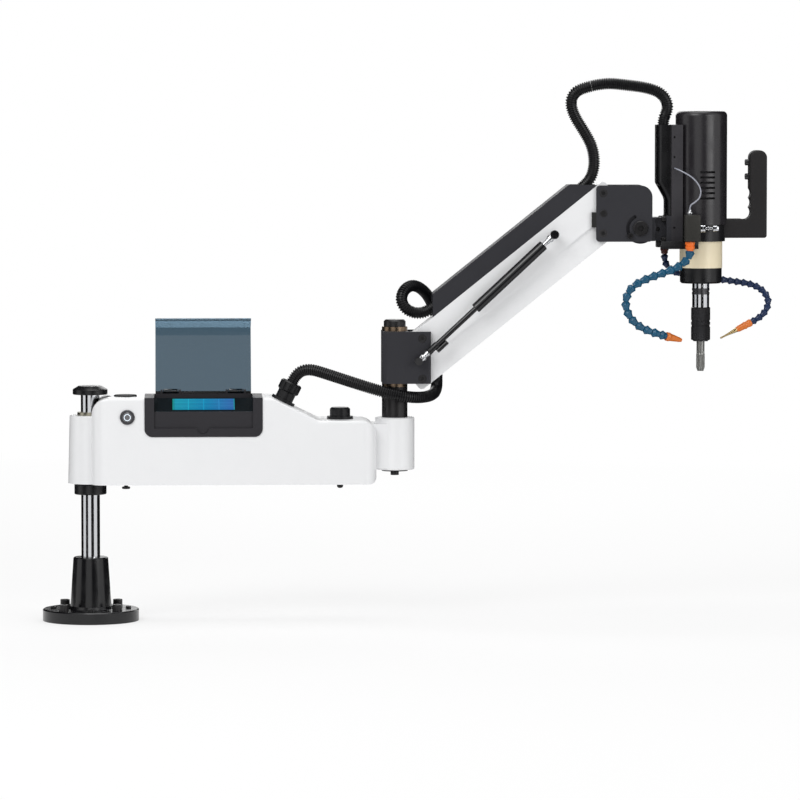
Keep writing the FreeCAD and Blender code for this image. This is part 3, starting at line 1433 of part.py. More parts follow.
def spindle():
    """Spindle shaft and the core of the quick-change chuck in one turned piece."""
    outline = [
        (0, SPINDLE_TOP),
        (SPINDLE_DIA / 2, SPINDLE_TOP),
        (SPINDLE_DIA / 2, CHUCK_TOP),
        (CHUCK_DIA / 2, CHUCK_TOP),
        (CHUCK_DIA / 2, CHUCK_GROOVE_TOP),
        (GRIP_RING_NECK / 2, CHUCK_GROOVE_TOP),
        (GRIP_RING_NECK / 2, CHUCK_GROOVE_FOOT),
        (CHUCK_DIA / 2, CHUCK_GROOVE_FOOT),
        (CHUCK_DIA / 2, CHUCK_FOOT),
        (HOLDER_DIA / 2, CHUCK_FOOT),
        (HOLDER_DIA / 2, CHUCK_FOOT + HOLDER_DEPTH),
        (0, CHUCK_FOOT + HOLDER_DEPTH),
    ]
    return turned(outline, HEAD_X)


def chuck_ring():
    """Dark grooved ring let into the chuck core."""
    ring = upright(GRIP_RING_DIA, HEAD_X, CHUCK_GROOVE_FOOT, CHUCK_GROOVE_TOP)
    ring = ring.cut(upright(GRIP_RING_NECK, HEAD_X, CHUCK_GROOVE_FOOT - 1, CHUCK_GROOVE_TOP + 1))
    middle = (CHUCK_GROOVE_FOOT + CHUCK_GROOVE_TOP) / 2
    return ring.cut(groove_tool(GRIP_RING_DIA, middle, 2.5, 1))


def groove_tool(diameter, middle, width, depth):
    """Ring to cut a groove round the chuck."""
    outer = upright(diameter + 4, HEAD_X, middle - width / 2, middle + width / 2)
    return outer.cut(upright(diameter - 2 * depth, HEAD_X, middle - width, middle + width))


def tap_holder():
    """Quick-change holder in the chuck, bored for the tap's shank."""
    plug = upright(HOLDER_DIA, HEAD_X, CHUCK_FOOT, CHUCK_FOOT + HOLDER_DEPTH)
    collar = upright(HOLDER_COLLAR_DIA, HEAD_X, CHUCK_FOOT - HOLDER_COLLAR, CHUCK_FOOT)
    bore = upright(TAP_SHANK_DIA, HEAD_X, CHUCK_FOOT - HOLDER_COLLAR - 1, CHUCK_FOOT + HOLDER_DEPTH - 5)
    return plug.fuse(collar).cut(bore)


def tap():
    """Machine tap: shank, threaded part with flutes and a tapered lead."""
    lead = 7.0
    radius = TAP_DIA / 2
    shank_top = CHUCK_FOOT + HOLDER_DEPTH - 5
    outline = [
        (0, TAP_FOOT),
        (radius * 0.7, TAP_FOOT),
        (radius, TAP_FOOT + lead),
        (radius, TAP_FLUTE_TOP),
        (TAP_SHANK_DIA / 2, TAP_FLUTE_TOP + 2),
        (TAP_SHANK_DIA / 2, shank_top),
        (0, shank_top),
    ]
    body = turned(outline, HEAD_X)
    for turn in range(FLUTES):
        angle = (turn + 0.5) * 2 * math.pi / FLUTES
        x = HEAD_X + radius * 1.05 * math.cos(angle)
        body = body.cut(upright(radius * 0.75, x, TAP_FOOT - 1, TAP_FLUTE_TOP + 6, radius * 1.05 * math.sin(angle)))
    return body


def chuck_sleeve():
    """Knurled sleeve that slides up to release the tap holder."""
    tube = upright(SLEEVE_DIA, HEAD_X, SLEEVE_FOOT, SLEEVE_TOP)
    tube = tube.makeChamfer(1.5, [e for e in tube.Edges if e.Closed])
    tube = tube.cut(upright(CHUCK_DIA + 2 * RUNNING_FIT, HEAD_X, SLEEVE_FOOT - 1, SLEEVE_TOP + 1))
    for middle in (SLEEVE_TOP - 26, SLEEVE_TOP - 35):
        tube = tube.cut(groove_tool(SLEEVE_DIA, middle, 4, 1))
    return tube


# ---------------------------------------------------------------- handle
def handle():
    """L-shaped handle: a bar clamped to the head and an upright grip with finger scallops."""
    half = HANDLE_DEPTH / 2
    inner = HEAD_X + 30
    body = side_profile(
        [
            (inner, HANDLE_BAR_FOOT, 0),
            (HANDLE_RIGHT, HANDLE_BAR_FOOT, 5),
            (HANDLE_RIGHT, GRIP_TOP, 14),
            (GRIP_LEFT, GRIP_TOP, 14),
            (GRIP_LEFT, HANDLE_BAR_TOP, 8),
            (inner, HANDLE_BAR_TOP, 0),
        ],
        -half,
        half,
    )
    rims = [e for e in body.Edges if abs(abs(e.CenterOfMass.y) - half) < 1e-3 and e.CenterOfMass.x > inner + 1]
    body = body.makeFillet(5, rims)
    body = body.cut(head_round())
    for row in range(SCALLOP_COUNT):
        height = SCALLOP_LOW + row * SCALLOP_PITCH
        middle = GRIP_LEFT + SCALLOP_DEPTH - SCALLOP_RADIUS
        body = body.cut(crosswise(2 * SCALLOP_RADIUS, middle, height, -half, half))
    for height in (START_Z, REVERSE_Z):
        bore = BUTTON_DIA + 2 * SLIP_GAP
        body = body.cut(rod(bore, vec(GRIP_LEFT - 1, 0, height), vec(GRIP_LEFT + BUTTON_REACH + 4, 0, height)))
    return body


BUTTON_REACH = 8.0


def grip_button(height):
    tip = GRIP_LEFT - BUTTON_PROUD
    button = rod(BUTTON_DIA, vec(tip, 0, height), vec(GRIP_LEFT + BUTTON_REACH, 0, height))
    return button.makeFillet(1.8, [e for e in button.Edges if e.Closed and e.CenterOfMass.x < tip + 1])


# ---------------------------------------------------------------- lubricator and hoses
FITTING_X = 1118.0
FITTING_LENGTH = 16.0
FITTING_Y = -66.0
FITTING_FOOT = LUB_FOOT - FITTING_LENGTH
OIL_PORT_X = 1117.5
OIL_PORT_HEIGHT = 8.0
KNOB_STEM_DIA = 6.0
KNOB_LENGTH = 21.0
REAR_FITTING_X = 1082.0
REAR_FITTING_Y = 58.0
REAR_FITTING_LENGTH = 13.6
REAR_FITTING_FOOT = LUB_PLATE_FOOT - REAR_FITTING_LENGTH


def lubricator_block():
    body = block(LUB_LEFT, LUB_RIGHT, LUB_FRONT, LUB_BACK, LUB_FOOT, LUB_TOP)
    upright_edges = [e for e in body.Edges if e.BoundBox.ZMax - e.BoundBox.ZMin > 10]
    body = body.makeChamfer(2, upright_edges)
    port = upright(OIL_PORT_HEIGHT, OIL_PORT_X, LUB_TOP, LUB_TOP + OIL_PORT_HEIGHT, FITTING_Y)
    stem_bore = KNOB_STEM_DIA + 2 * RUNNING_FIT
    bore = rod(stem_bore, vec(LUB_LEFT + 8, FITTING_Y, KNOB_Z), vec(LUB_RIGHT + 1, FITTING_Y, KNOB_Z))
    return body.fuse(port).cut(bore)


def needle_knob():
    """Needle of the lubricator with its knurled knob."""
    knob_left = KNOB_RIGHT - KNOB_LENGTH
    stem = rod(KNOB_STEM_DIA, vec(LUB_LEFT + 9, FITTING_Y, KNOB_Z), vec(knob_left, FITTING_Y, KNOB_Z))
    knob = rod(KNOB_DIA, vec(knob_left, FITTING_Y, KNOB_Z), vec(KNOB_RIGHT, FITTING_Y, KNOB_Z))
    return stem.fuse(knob.makeChamfer(1.2, [e for e in knob.Edges if e.Closed]))


def hose_brackets():
    """Near bracket under the lubricator and far bracket for the rear hose."""
    top = LUB_FOOT
    side = CARRIER_WIDTH / 2
    near = block(LUB_PLATE_LEFT, CARRIER_RIGHT, LUB_FRONT, -side, LUB_PLATE_FOOT, top)
    near = near.fuse(block(CARRIER_RIGHT, LUB_RIGHT - 2, LUB_FRONT, LUB_BACK, LUB_PLATE_FOOT, top))
    near = near.cut(upright(FITTING_DIA, FITTING_X, LUB_PLATE_FOOT - 1, top + 1, FITTING_Y))
    far = block(LUB_PLATE_LEFT, CARRIER_RIGHT, side, REAR_FITTING_Y + 12, LUB_PLATE_FOOT, top)
    return Part.makeCompound([near, far])


def hose_fittings():
    near = upright(FITTING_DIA, FITTING_X, FITTING_FOOT, LUB_FOOT, FITTING_Y)
    far = upright(FITTING_DIA, REAR_FITTING_X, REAR_FITTING_FOOT, LUB_PLATE_FOOT, REAR_FITTING_Y)
    return Part.makeCompound([near, far])


def cone_between(start, end, start_dia, end_dia):
    line = end - start
    return Part.makeCone(start_dia / 2, end_dia / 2, line.Length, start, line)


# ---------------------------------------------------------------- cords
def cord(name, points, diameter):
    """Tube along straight runs joined by tangent arcs as large as the runs allow."""
    edges = []
    radii = []
    last = points[0]
    for i in range(1, len(points) - 1):
        back = points[i - 1] - points[i]
        ahead = points[i + 1] - points[i]
        shorter = min(back.Length, ahead.Length)
        turn = math.pi - back.getAngle(ahead)
        reach = 0.45 * shorter
        radius = reach / math.tan(turn / 2)
        radii.append(round(radius / diameter, 1))
        start = points[i] + back.normalize() * reach
        end = points[i] + ahead.normalize() * reach
        bisector = (back + ahead).normalize()
        centre = points[i] + bisector * (radius / math.cos(turn / 2))
        middle = centre - bisector * radius
        edges.append(Part.LineSegment(last, start).toShape())
        edges.append(Part.Arc(start, middle, end).toShape())
        last = end
    edges.append(Part.LineSegment(last, points[-1]).toShape())
    path = Part.Wire(edges)
    length = path.Length
    section = Part.Face(Part.Wire(Part.makeCircle(diameter / 2, points[0], points[1] - points[0])))
    tube = path.makePipe(section)
    expected = math.pi * diameter ** 2 / 4 * length
    print(name, "length", round(length, 1), "radii in diameters", radii)
    print(name, "volume ratio", round(tube.Volume / expected, 4))
    return tube


def route(places):
    """Route given as (x, z, y) places."""
    return [vec(x, y, z) for x, z, y in places]


def gland_mouth():
    foot, outward = slope_frame()
    return foot + outward * (GLAND_FLANGE + GLAND_BODY + GLAND_NUT_LENGTH)


CONDUIT_ACROSS = 31.0       # conduit above the pivot line, inside the cable cover
INNER_START = 75.0
INNER_END = 405.0

CONDUIT_ELBOW = [
    (396, 468, -2), (414, 470, -6), (438, 463, -13), (476, 451, -24), (518, 438, -34),
    (552, 428, -40), (584, 421, -41), (612, 417, -31), (634, 415, -10), (650, 416, 14),
    (663, 420, 36), (670, 433, 53), (665, 452, 61), (657, 470, 63), (657, 492, 64),
]
CONDUIT_LOOP = [
    (654, 552, 62), (646, 584, 55), (631, 612, 42), (607, 628, 25), (588, 619, 11),
    (581, 600, 3), (590, 582, 0), (609, 574, 0), (627, 576, 0),
]
CONDUIT_RISE = [
    (941, 835, 0), (945, 858, 1), (940, 888, 2), (924, 916, 3), (907, 942, 3),
    (899, 966, 2), (904, 984, 1), (918, 994, 1), (938, 999, 0),
]
CONDUIT_TOP = [
    (1005, 1001, 0), (1044, 996, 0), (1070, 986, 0), (1082, 967, 0), (1080, 950, 0),
    (DUCT_X, 938, 0), (DUCT_X, 916, 0),
]
HOSE_NEAR = [
    (FITTING_X, FITTING_FOOT, FITTING_Y), (FITTING_X, 685, -66), (1111, 674, -66), (1098, 664, -66),
    (1079, 655, -66), (1054, 647, -66), (1030, 638, -65), (1010, 626, -64), (1000, 609, -62),
    (998, 592, -60), (1003, 575, -58), (1014, 560, -56), (1030, 548, -54), (1053, 539, -51),
    (1078, 532, -41),
]
HOSE_FAR = [
    (REAR_FITTING_X, REAR_FITTING_FOOT, REAR_FITTING_Y), (REAR_FITTING_X, 671, 58), (1088, 658, 58),
    (1102, 648, 58), (1125, 641, 57), (1155, 637, 57), (1185, 635, 54), (1215, 631, 48),
    (1243, 627, 38), (1262, 618, 27), (1273, 604, 18), (1274, 588, 11), (1265, 572, 6),
    (1252, 562, 3), (1238, 555, 1),
]
OIL_ROUTE = [
    (CARRIER_HOLE_X, OIL_HOLE_Z, -32), (CARRIER_HOLE_X, OIL_HOLE_Z, -46), (1103, 841, -57),
    (1124, 829, -63), (1138, 810, -66), (1137, 793, -67), (1127, 783, -66.5),
    (OIL_PORT_X, 778, -66), (OIL_PORT_X, 770, -66),
]
GLAND_LEAD = 13.0           # straight stretch of conduit out of its gland
LOOP_LEAD = 28.0            # straight stretch past the end of the stretch before
INNER_LEAD = 21.0           # straight stretch outside each end of the cable cover
TOP_LEAD = 26.0
NEAR_NOZZLE_LENGTH = 31.0
FAR_NOZZLE_LENGTH = 29.5
BRASS_LENGTH = 34.0
NOZZLE_DIA = 17.0
NOZZLE_TIP_DIA = 7.0
BRASS_DIA = 3.5


def carried_on(points, reach):
    """Place a distance past the end of a route, in line with its last run."""
    return points[-1] + (points[-1] - points[-2]).normalize() * reach


def inner_place(along):
    return link_point(PIVOT_X, UPPER_PIVOT_Z, along, CONDUIT_ACROSS)


def elbow_route():
    outward = slope_frame()[1]
    mouth = gland_mouth()
    return [mouth, mouth + outward * GLAND_LEAD] + route(CONDUIT_ELBOW)


def loop_route():
    before = elbow_route()
    start = [before[-1], carried_on(before, LOOP_LEAD)]
    return start + route(CONDUIT_LOOP) + [inner_place(INNER_START - INNER_LEAD), inner_place(INNER_START)]


def rise_route():
    return [inner_place(INNER_END), inner_place(INNER_END + INNER_LEAD)] + route(CONDUIT_RISE)


def top_route():
    before = rise_route()
    return [before[-1], carried_on(before, TOP_LEAD)] + route(CONDUIT_TOP)


def conduit_inner():
    return rod(CONDUIT_DIA, inner_place(INNER_START), inner_place(INNER_END))


def hose_nozzles():
    """Tapered nozzle on each hose; the far one ends in a thin brass pipe."""
    near = route(HOSE_NEAR)
    far = route(HOSE_FAR)
    far_end = carried_on(far, FAR_NOZZLE_LENGTH)
    return Part.makeCompound(
        [
            cone_between(near[-1], carried_on(near, NEAR_NOZZLE_LENGTH), NOZZLE_DIA, NOZZLE_TIP_DIA),
            cone_between(far[-1], far_end, NOZZLE_DIA, NOZZLE_TIP_DIA),
            rod(BRASS_DIA, far_end, carried_on(far, FAR_NOZZLE_LENGTH + BRASS_LENGTH)),
        ]
    )


# ---------------------------------------------------------------- all the parts
ON_HEAD = (
    "side_plates", "head_pins", "frame_blocks", "tilt_bracket", "head_screws", "carrier_plate",
    "conduit_housing", "motor_cover", "servo_motor", "motor_flange", "spindle_housing",
    "spindle_bearings", "nose_ring", "spindle", "chuck_inserts", "tap", "chuck_sleeve", "handle",
    "start_button", "reverse_button", "lubricator", "needle_knob", "hose_fittings", "hose_nozzles",
    "hose_near", "hose_far", "oil_tube",
)


def at_link_ends(shape):
    """Moves a piece of the head from its own drawing to the ends of the links."""
    moved = shape.copy()
    moved.translate(vec(HEAD_PIVOT_X - HEAD_DATUM_X, 0, HEAD_PIVOT_Z - HEAD_DATUM_Z))
    return moved


def main():
    os.makedirs("parts", exist_ok=True)
    group = Part.makeCompound
    pieces = {
        "pedestal": pedestal(),
        "base_screws": group([mounting_bolts(), levelling_screws()]),
        "column": column(),
        "column_cap": column_cap(),
        "lock_collar": group([lock_collar(), collar_screw()]),
        "arm_housing": arm_housing(),
        "bottom_cover": bottom_cover(),
        "case_plugs": group([case_feet(), case_cap()]),
        "column_bushes": column_bushes(),
        "power_button_ring": power_button_ring(),
        "power_button": power_button(),
        "cable_glands": group([conduit_gland(), blank_gland(), mains_inlet()]),
        "drive_units": group([servo_drive(), power_supply()]),
        "console_bezel": console_bezel(),
        "control_panel": control_panel(),
        "display": display(),
        "console_lid": console_lid(),
        "elbow_shaft": elbow_shaft(),
        "elbow_caps": elbow_caps(),
        "elbow_block": elbow_block(),
        "elbow_bushes": elbow_bushes(),
        "elbow_pins": group([elbow_pins(), elbow_stud()]),
        "upper_link": upper_link(),
        "cable_cover": cable_cover(),
        "link_stud": link_stud(),
        "lower_link": lower_link(),
        "strut_rod": strut_rod(),
        "strut_cylinder": strut_cylinder(),
        "side_plates": group([head_plate(-1), head_plate(1)]),
        "head_pins": head_pins(),
        "frame_blocks": group([frame_spacer(), stop_pads()]),
        "tilt_bracket": group([tilt_bracket(), bracket_flange()]),
        "head_screws": group([tilt_pin(), clamp_screw(), head_screws()]),
        "carrier_plate": carrier_plate(),
        "conduit_housing": conduit_housing(),
        "motor_cover": motor_cover(),
        "servo_motor": servo_motor(),
        "motor_flange": motor_flange(),
        "spindle_housing": spindle_housing(),
        "spindle_bearings": spindle_bearings(),
        "nose_ring": nose_ring(),
        "spindle": spindle(),
        "chuck_inserts": group([chuck_ring(), tap_holder()]),
        "tap": tap(),
        "chuck_sleeve": chuck_sleeve(),
        "handle": handle(),
        "start_button": grip_button(START_Z),
        "reverse_button": grip_button(REVERSE_Z),
        "lubricator": group([lubricator_block(), hose_brackets()]),
        "needle_knob": needle_knob(),
        "hose_fittings": hose_fittings(),
        "hose_nozzles": hose_nozzles(),
        "conduit_elbow": cord("conduit_elbow", elbow_route(), CONDUIT_DIA),
        "conduit_loop": cord("conduit_loop", loop_route(), CONDUIT_DIA),
        "conduit_inner": conduit_inner(),
        "conduit_rise": cord("conduit_rise", rise_route(), CONDUIT_DIA),
        "conduit_top": cord("conduit_top", top_route(), CONDUIT_DIA),
        "hose_near": cord("hose_near", route(HOSE_NEAR), HOSE_DIA),
        "hose_far": cord("hose_far", route(HOSE_FAR), HOSE_DIA),
        "oil_tube": cord("oil_tube", route(OIL_ROUTE), OIL_TUBE_DIA),
    }
    for name, shape in pieces.items():
        save(name, at_link_ends(shape) if name in ON_HEAD else shape)


main()
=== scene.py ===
# %% [markdown]
# # An arm tapping machine, dressed and lit
#
# The machine stands on a round pedestal. A white housing swings on its column, a sprung
# parallelogram lifts the tapping head, and a black conduit carries the cables from one to the other.
# The solid parts come from CAD and are already in place. This lesson adds what CAD leaves plain:
# paint and metal finishes, ribbed conduit, segmented coolant hoses, screws and the lit console.

# %% Load the frame
import math

import bmesh
import bpy
from mathutils import Matrix, Vector


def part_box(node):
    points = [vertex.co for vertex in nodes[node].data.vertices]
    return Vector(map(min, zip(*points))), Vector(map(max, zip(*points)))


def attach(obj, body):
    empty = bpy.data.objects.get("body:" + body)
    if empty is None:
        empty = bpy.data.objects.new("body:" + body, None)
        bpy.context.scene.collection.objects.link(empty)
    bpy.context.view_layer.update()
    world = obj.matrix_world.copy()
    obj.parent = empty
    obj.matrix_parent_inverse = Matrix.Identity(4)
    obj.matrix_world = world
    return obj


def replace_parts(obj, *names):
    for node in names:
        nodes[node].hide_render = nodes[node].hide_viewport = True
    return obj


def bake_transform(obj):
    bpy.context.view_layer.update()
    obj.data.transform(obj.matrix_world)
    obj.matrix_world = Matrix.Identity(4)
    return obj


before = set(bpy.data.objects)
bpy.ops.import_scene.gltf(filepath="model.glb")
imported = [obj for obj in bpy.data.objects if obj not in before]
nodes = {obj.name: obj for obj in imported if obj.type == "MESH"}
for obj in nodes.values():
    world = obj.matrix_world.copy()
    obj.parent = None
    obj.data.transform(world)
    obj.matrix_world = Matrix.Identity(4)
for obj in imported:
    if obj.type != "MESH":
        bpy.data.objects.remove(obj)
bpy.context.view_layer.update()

# %% [markdown]
# ## Camera
#
# A machine is best shown from far off through a long lens, so that its uprights stay parallel. A
# short lens close by would fill the frame too, but would bend the proportions. So the camera stands
# nine and a half metres away, a little to the left and a little above the middle of the machine.

# %% Camera
AIM = Vector((0.580, 0.0, 0.4116))
CAMERA_DISTANCE = 9.5
CAMERA_LEFT = math.radians(2.46)
CAMERA_ABOVE = math.radians(3.79)

toward_camera = Vector(
    (
        -math.sin(CAMERA_LEFT) * math.cos(CAMERA_ABOVE),
        -math.cos(CAMERA_LEFT) * math.cos(CAMERA_ABOVE),
        math.sin(CAMERA_ABOVE),
    )
)
camera_data = bpy.data.cameras.new("camera")
camera_data.lens = 228.0
camera_data.sensor_width = 36.0
camera_data.clip_end = 60.0
camera = bpy.data.objects.new("camera", camera_data)
camera.location = AIM + toward_camera * CAMERA_DISTANCE
camera.rotation_euler = (-toward_camera).to_track_quat("-Z", "Y").to_euler()
bpy.context.scene.collection.objects.link(camera)
bpy.context.scene.camera = camera
bpy.context.scene.view_settings.view_transform = "Standard"
print("camera at", tuple(round(x, 3) for x in camera.location))

# %% [markdown]
# ## Floor, world and lamps
#
# A white studio is a pale floor that runs up into a pale wall, lit by large soft lamps. The lamps
# could be made stronger until the floor is white, but the white machine would then lose its edges.
# So the floor shows the camera a pale colour of its own, and the lamps stay at a plain level. That
# colour grows whiter away from the machine, so that no line shows where the floor ends.

# %% Floor
def new_object(name, bm):
    """Makes an object from a bmesh, with its place in its mesh."""
    mesh = bpy.data.meshes.new(name)
    bm.to_mesh(mesh)
    bm.free()
    piece = bpy.data.objects.new(name, mesh)
    bpy.context.scene.collection.objects.link(piece)
    return piece


def smooth(piece, angle=40):
    """Shades a piece smooth, with creases at its sharp edges."""
    for face in piece.data.polygons:
        face.use_smooth = True
    piece.data.set_sharp_from_angle(angle=math.radians(angle))
    return piece


def linked(tree, source, target):
    tree.links.new(source, target)


def math_node(tree, operation, a, b):
    """Result of a sum on two sockets or numbers."""
    node = tree.nodes.new("ShaderNodeMath")
    node.operation = operation
    for socket, value in zip(node.inputs, (a, b)):
        if isinstance(value, (int, float)):
            socket.default_value = value
        else:
            linked(tree, value, socket)
    return node.outputs[0]


FLOOR_HALF = 14.0
floor_bm = bmesh.new()
bmesh.ops.create_grid(floor_bm, x_segments=2, y_segments=2, size=FLOOR_HALF)
floor = new_object("floor", floor_bm)


def seen_straight(tree):
    """1 for rays from the camera, off a mirror or through glass; 0 for light that falls on things."""
    path = tree.nodes.new("ShaderNodeLightPath").outputs
    mirrored = math_node(tree, "MAXIMUM", path["Is Camera Ray"], path["Is Glossy Ray"])
    return math_node(tree, "MAXIMUM", mirrored, path["Is Transmission Ray"])


FLOOR_GREY = 0.86
GLOW_NEAR = 0.62    # share of the floor's own white near the machine
FADE_START = 1.2    # metres from the column, where that share begins to grow
FADE_END = 4.0
floor_paint = bpy.data.materials.new("floor paint")
floor_paint.use_nodes = True
tree = floor_paint.node_tree
tree.nodes.clear()
out = tree.nodes.new("ShaderNodeOutputMaterial")
mix = tree.nodes.new("ShaderNodeMixShader")
lit = tree.nodes.new("ShaderNodeBsdfDiffuse")
glow = tree.nodes.new("ShaderNodeEmission")
lit.inputs["Color"].default_value = (FLOOR_GREY, FLOOR_GREY, FLOOR_GREY, 1)
glow.inputs["Color"].default_value = (1, 1, 1, 1)
from_column = tree.nodes.new("ShaderNodeVectorMath")
from_column.operation = "LENGTH"
linked(tree, tree.nodes.new("ShaderNodeTexCoord").outputs["Object"], from_column.inputs[0])
fade = tree.nodes.new("ShaderNodeMapRange")
fade.inputs["From Min"].default_value = FADE_START
fade.inputs["From Max"].default_value = FADE_END
fade.inputs["To Min"].default_value = GLOW_NEAR
fade.inputs["To Max"].default_value = 1.0
linked(tree, from_column.outputs["Value"], fade.inputs["Value"])
linked(tree, math_node(tree, "MULTIPLY", seen_straight(tree), fade.outputs["Result"]), mix.inputs["Fac"])
linked(tree, lit.outputs[0], mix.inputs[1])
linked(tree, glow.outputs[0], mix.inputs[2])
linked(tree, mix.outputs[0], out.inputs["Surface"])
floor.data.materials.append(floor_paint)
print("floor ready")

# %% World and lamps
SKY_STRENGTH = 0.42
world = bpy.data.worlds.new("studio")
world.use_nodes = True
bpy.context.scene.world = world
sky = world.node_tree
sky.nodes.clear()
sky_out = sky.nodes.new("ShaderNodeOutputWorld")
sky_mix = sky.nodes.new("ShaderNodeMixShader")
sky_light = sky.nodes.new("ShaderNodeBackground")
sky_seen = sky.nodes.new("ShaderNodeBackground")
sky_light.inputs["Color"].default_value = (1.0, 1.0, 1.0, 1)
sky_light.inputs["Strength"].default_value = SKY_STRENGTH
sky_seen.inputs["Color"].default_value = (1.0, 1.0, 1.0, 1)
sky_seen.inputs["Strength"].default_value = 1.0
linked(sky, seen_straight(sky), sky_mix.inputs["Fac"])
linked(sky, sky_light.outputs[0], sky_mix.inputs[1])
linked(sky, sky_seen.outputs[0], sky_mix.inputs[2])
linked(sky, sky_mix.outputs[0], sky_out.inputs["Surface"])

LAMP_AIM = Vector((0.6, 0, 0.5))
LAMPS = {    # place and size in metres, power in watts
    "key": ((-1.6, -3.2, 3.4), 2.4, 95.0),
    "fill": ((3.4, -3.4, 1.6), 2.2, 48.0),
    "top": ((0.6, 0.2, 4.2), 2.6, 55.0),
    "back": ((0.8, 3.4, 2.2), 2.4, 40.0),
}
for name, (place, size, power) in LAMPS.items():
    lamp = bpy.data.lights.new(name, "AREA")
    lamp.size = size
    lamp.energy = power
    holder = bpy.data.objects.new(name, lamp)
    holder.location = place
    holder.rotation_euler = (LAMP_AIM - Vector(place)).to_track_quat("-Z", "Y").to_euler()
    bpy.context.scene.collection.objects.link(holder)
print("lamps", len(LAMPS))

# %% [markdown]
# In an all-white room chrome turns white and black paint turns grey. A studio stands dark cards round
# the machine, which show as dark stripes in its rods and leave bright ones between. Each card here is
# a slice of a ring: it lies on the floor, runs up outside the lamps and comes back over them. Only
# reflections see it.

# %% Dark cards
CARDS = ((-179, -97), (-60, -29), (7, 43), (88, 179))    # degrees round the column, from the front
CARD_NEAR = 0.7
CARD_FAR = 6.5
CARD_FOOT = 0.004
CARD_TOP = 6.0
CARD_SECTION = ((CARD_NEAR, CARD_FOOT), (CARD_FAR, CARD_FOOT), (CARD_FAR, CARD_TOP), (CARD_NEAR, CARD_TOP))
card_black = bpy.data.materials.new("card black")
card_black.use_nodes = True
card_shader = card_black.node_tree.nodes["Principled BSDF"]
card_shader.inputs["Base Color"].default_value = (0.01, 0.01, 0.01, 1)
card_shader.inputs["Specular IOR Level"].default_value = 0.0
for number, (start, end) in enumerate(CARDS):
    card_bm = bmesh.new()
    facing = Matrix.Rotation(math.radians(start), 3, "Z")
    corners = [card_bm.verts.new(facing @ Vector((0, -away, up))) for away, up in CARD_SECTION]
    sides = [card_bm.edges.new(pair) for pair in zip(corners, corners[1:])]
    bmesh.ops.spin(
        card_bm, geom=corners + sides, axis=(0, 0, 1), cent=(0, 0, 0),
        angle=math.radians(end - start), steps=24,
    )
    card = new_object("card_" + str(number), card_bm)
    card.data.materials.append(card_black)
    card.visible_camera = False
    card.visible_diffuse = False
    card.visible_transmission = False
    card.visible_shadow = False
print("cards", len(CARDS))

# %% [markdown]
# ## Routes of the cords
#
# The conduit and the hoses follow smooth lines. Each line is a NURBS curve whose control points are
# the route points that the CAD tubes use, in millimetres, with those at the elbow moved a little. A
# polyline with rounded corners would look like bent wire; a curve of order three only leans
# towards its points and stays fair.

# %% Route points
MM = 0.001
GLAND_MOUTH = Vector((377.72, 0, 445.47))
GLAND_WAY = Vector((0.4431, 0, 0.8965))
ARM_LIFT = math.radians(38.7)
ARM_WAY = Vector((math.cos(ARM_LIFT), 0, math.sin(ARM_LIFT)))
ARM_UP = Vector((-math.sin(ARM_LIFT), 0, math.cos(ARM_LIFT)))
ARM_FOOT = Vector((620, 0, 529))
COVER_HEIGHT = 31.0    # middle of the cable cover above the arm's line


def inside_cover(along):
    """Place in the cable cover, measured along the arm from its lower pivot, in millimetres."""
    return ARM_FOOT + ARM_WAY * along + ARM_UP * COVER_HEIGHT


def places(triples):
    """Vectors from rows of x, z and y."""
    return [Vector((x, y, z)) for x, z, y in triples]


def carried_on(points, reach):
    """Place past the end of a route, in line with its last run."""
    return points[-1] + (points[-1] - points[-2]).normalized() * reach


elbow_route = [GLAND_MOUTH, GLAND_MOUTH + GLAND_WAY * 13] + places(
    [
        (396, 468, -2), (414, 470, -6), (438, 463, -13), (476, 451, -24), (518, 438, -34),
        (552, 428, -40), (584, 421, -41), (610, 418, -31), (628, 418, -12), (640, 420, 12),
        (648, 424, 36), (652, 436, 53), (652, 454, 61), (654, 472, 63), (657, 492, 64),
    ]
)
loop_route = [elbow_route[-1], carried_on(elbow_route, 28)] + places(
    [
        (654, 552, 62), (646, 584, 55), (631, 612, 42), (607, 628, 25), (588, 619, 11),
        (581, 600, 3), (590, 582, 0), (609, 574, 0), (627, 576, 0),
    ]
) + [inside_cover(54), inside_cover(75)]
inner_route = [inside_cover(75), inside_cover(240), inside_cover(405)]
rise_route = [inside_cover(405), inside_cover(426)] + places(
    [
        (941, 835, 0), (945, 858, 1), (940, 888, 2), (924, 916, 3), (907, 942, 3),
        (899, 966, 2), (904, 984, 1), (918, 994, 1), (938, 999, 0),
    ]
)
top_route = [rise_route[-1], carried_on(rise_route, 26)] + places(
    [
        (1005, 1001, 0), (1044, 996, 0), (1070, 986, 0), (1082, 967, 0), (1080, 950, 0),
        (1073, 938, 0), (1073, 916, 0),
    ]
)
near_hose_route = places(
    [
        (1118, 694, -66), (1118, 685, -66), (1111, 674, -66), (1098, 664, -66),
        (1079, 655, -66), (1054, 647, -66), (1030, 638, -65), (1010, 626, -64), (1000, 609, -62),
        (998, 592, -60), (1003, 575, -58), (1014, 560, -56), (1030, 548, -54), (1053, 539, -51),
        (1078, 532, -41),
    ]
)
far_hose_route = places(
    [
        (1082, 682, 58), (1082, 671, 58), (1088, 658, 58),
        (1102, 648, 58), (1125, 641, 57), (1155, 637, 57), (1185, 635, 54), (1215, 631, 48),
        (1243, 627, 38), (1262, 618, 27), (1273, 604, 18), (1274, 588, 11), (1265, 572, 6),
        (1252, 562, 3), (1238, 555, 1),
    ]
)
oil_route = places(
    [
        (1091, 846.4, -32), (1091, 846.4, -46), (1103, 841, -57),
        (1124, 829, -63), (1138, 810, -66), (1137, 793, -67), (1127, 783, -66.5),
        (1117.5, 778, -66), (1117.5, 770, -66),
    ]
)
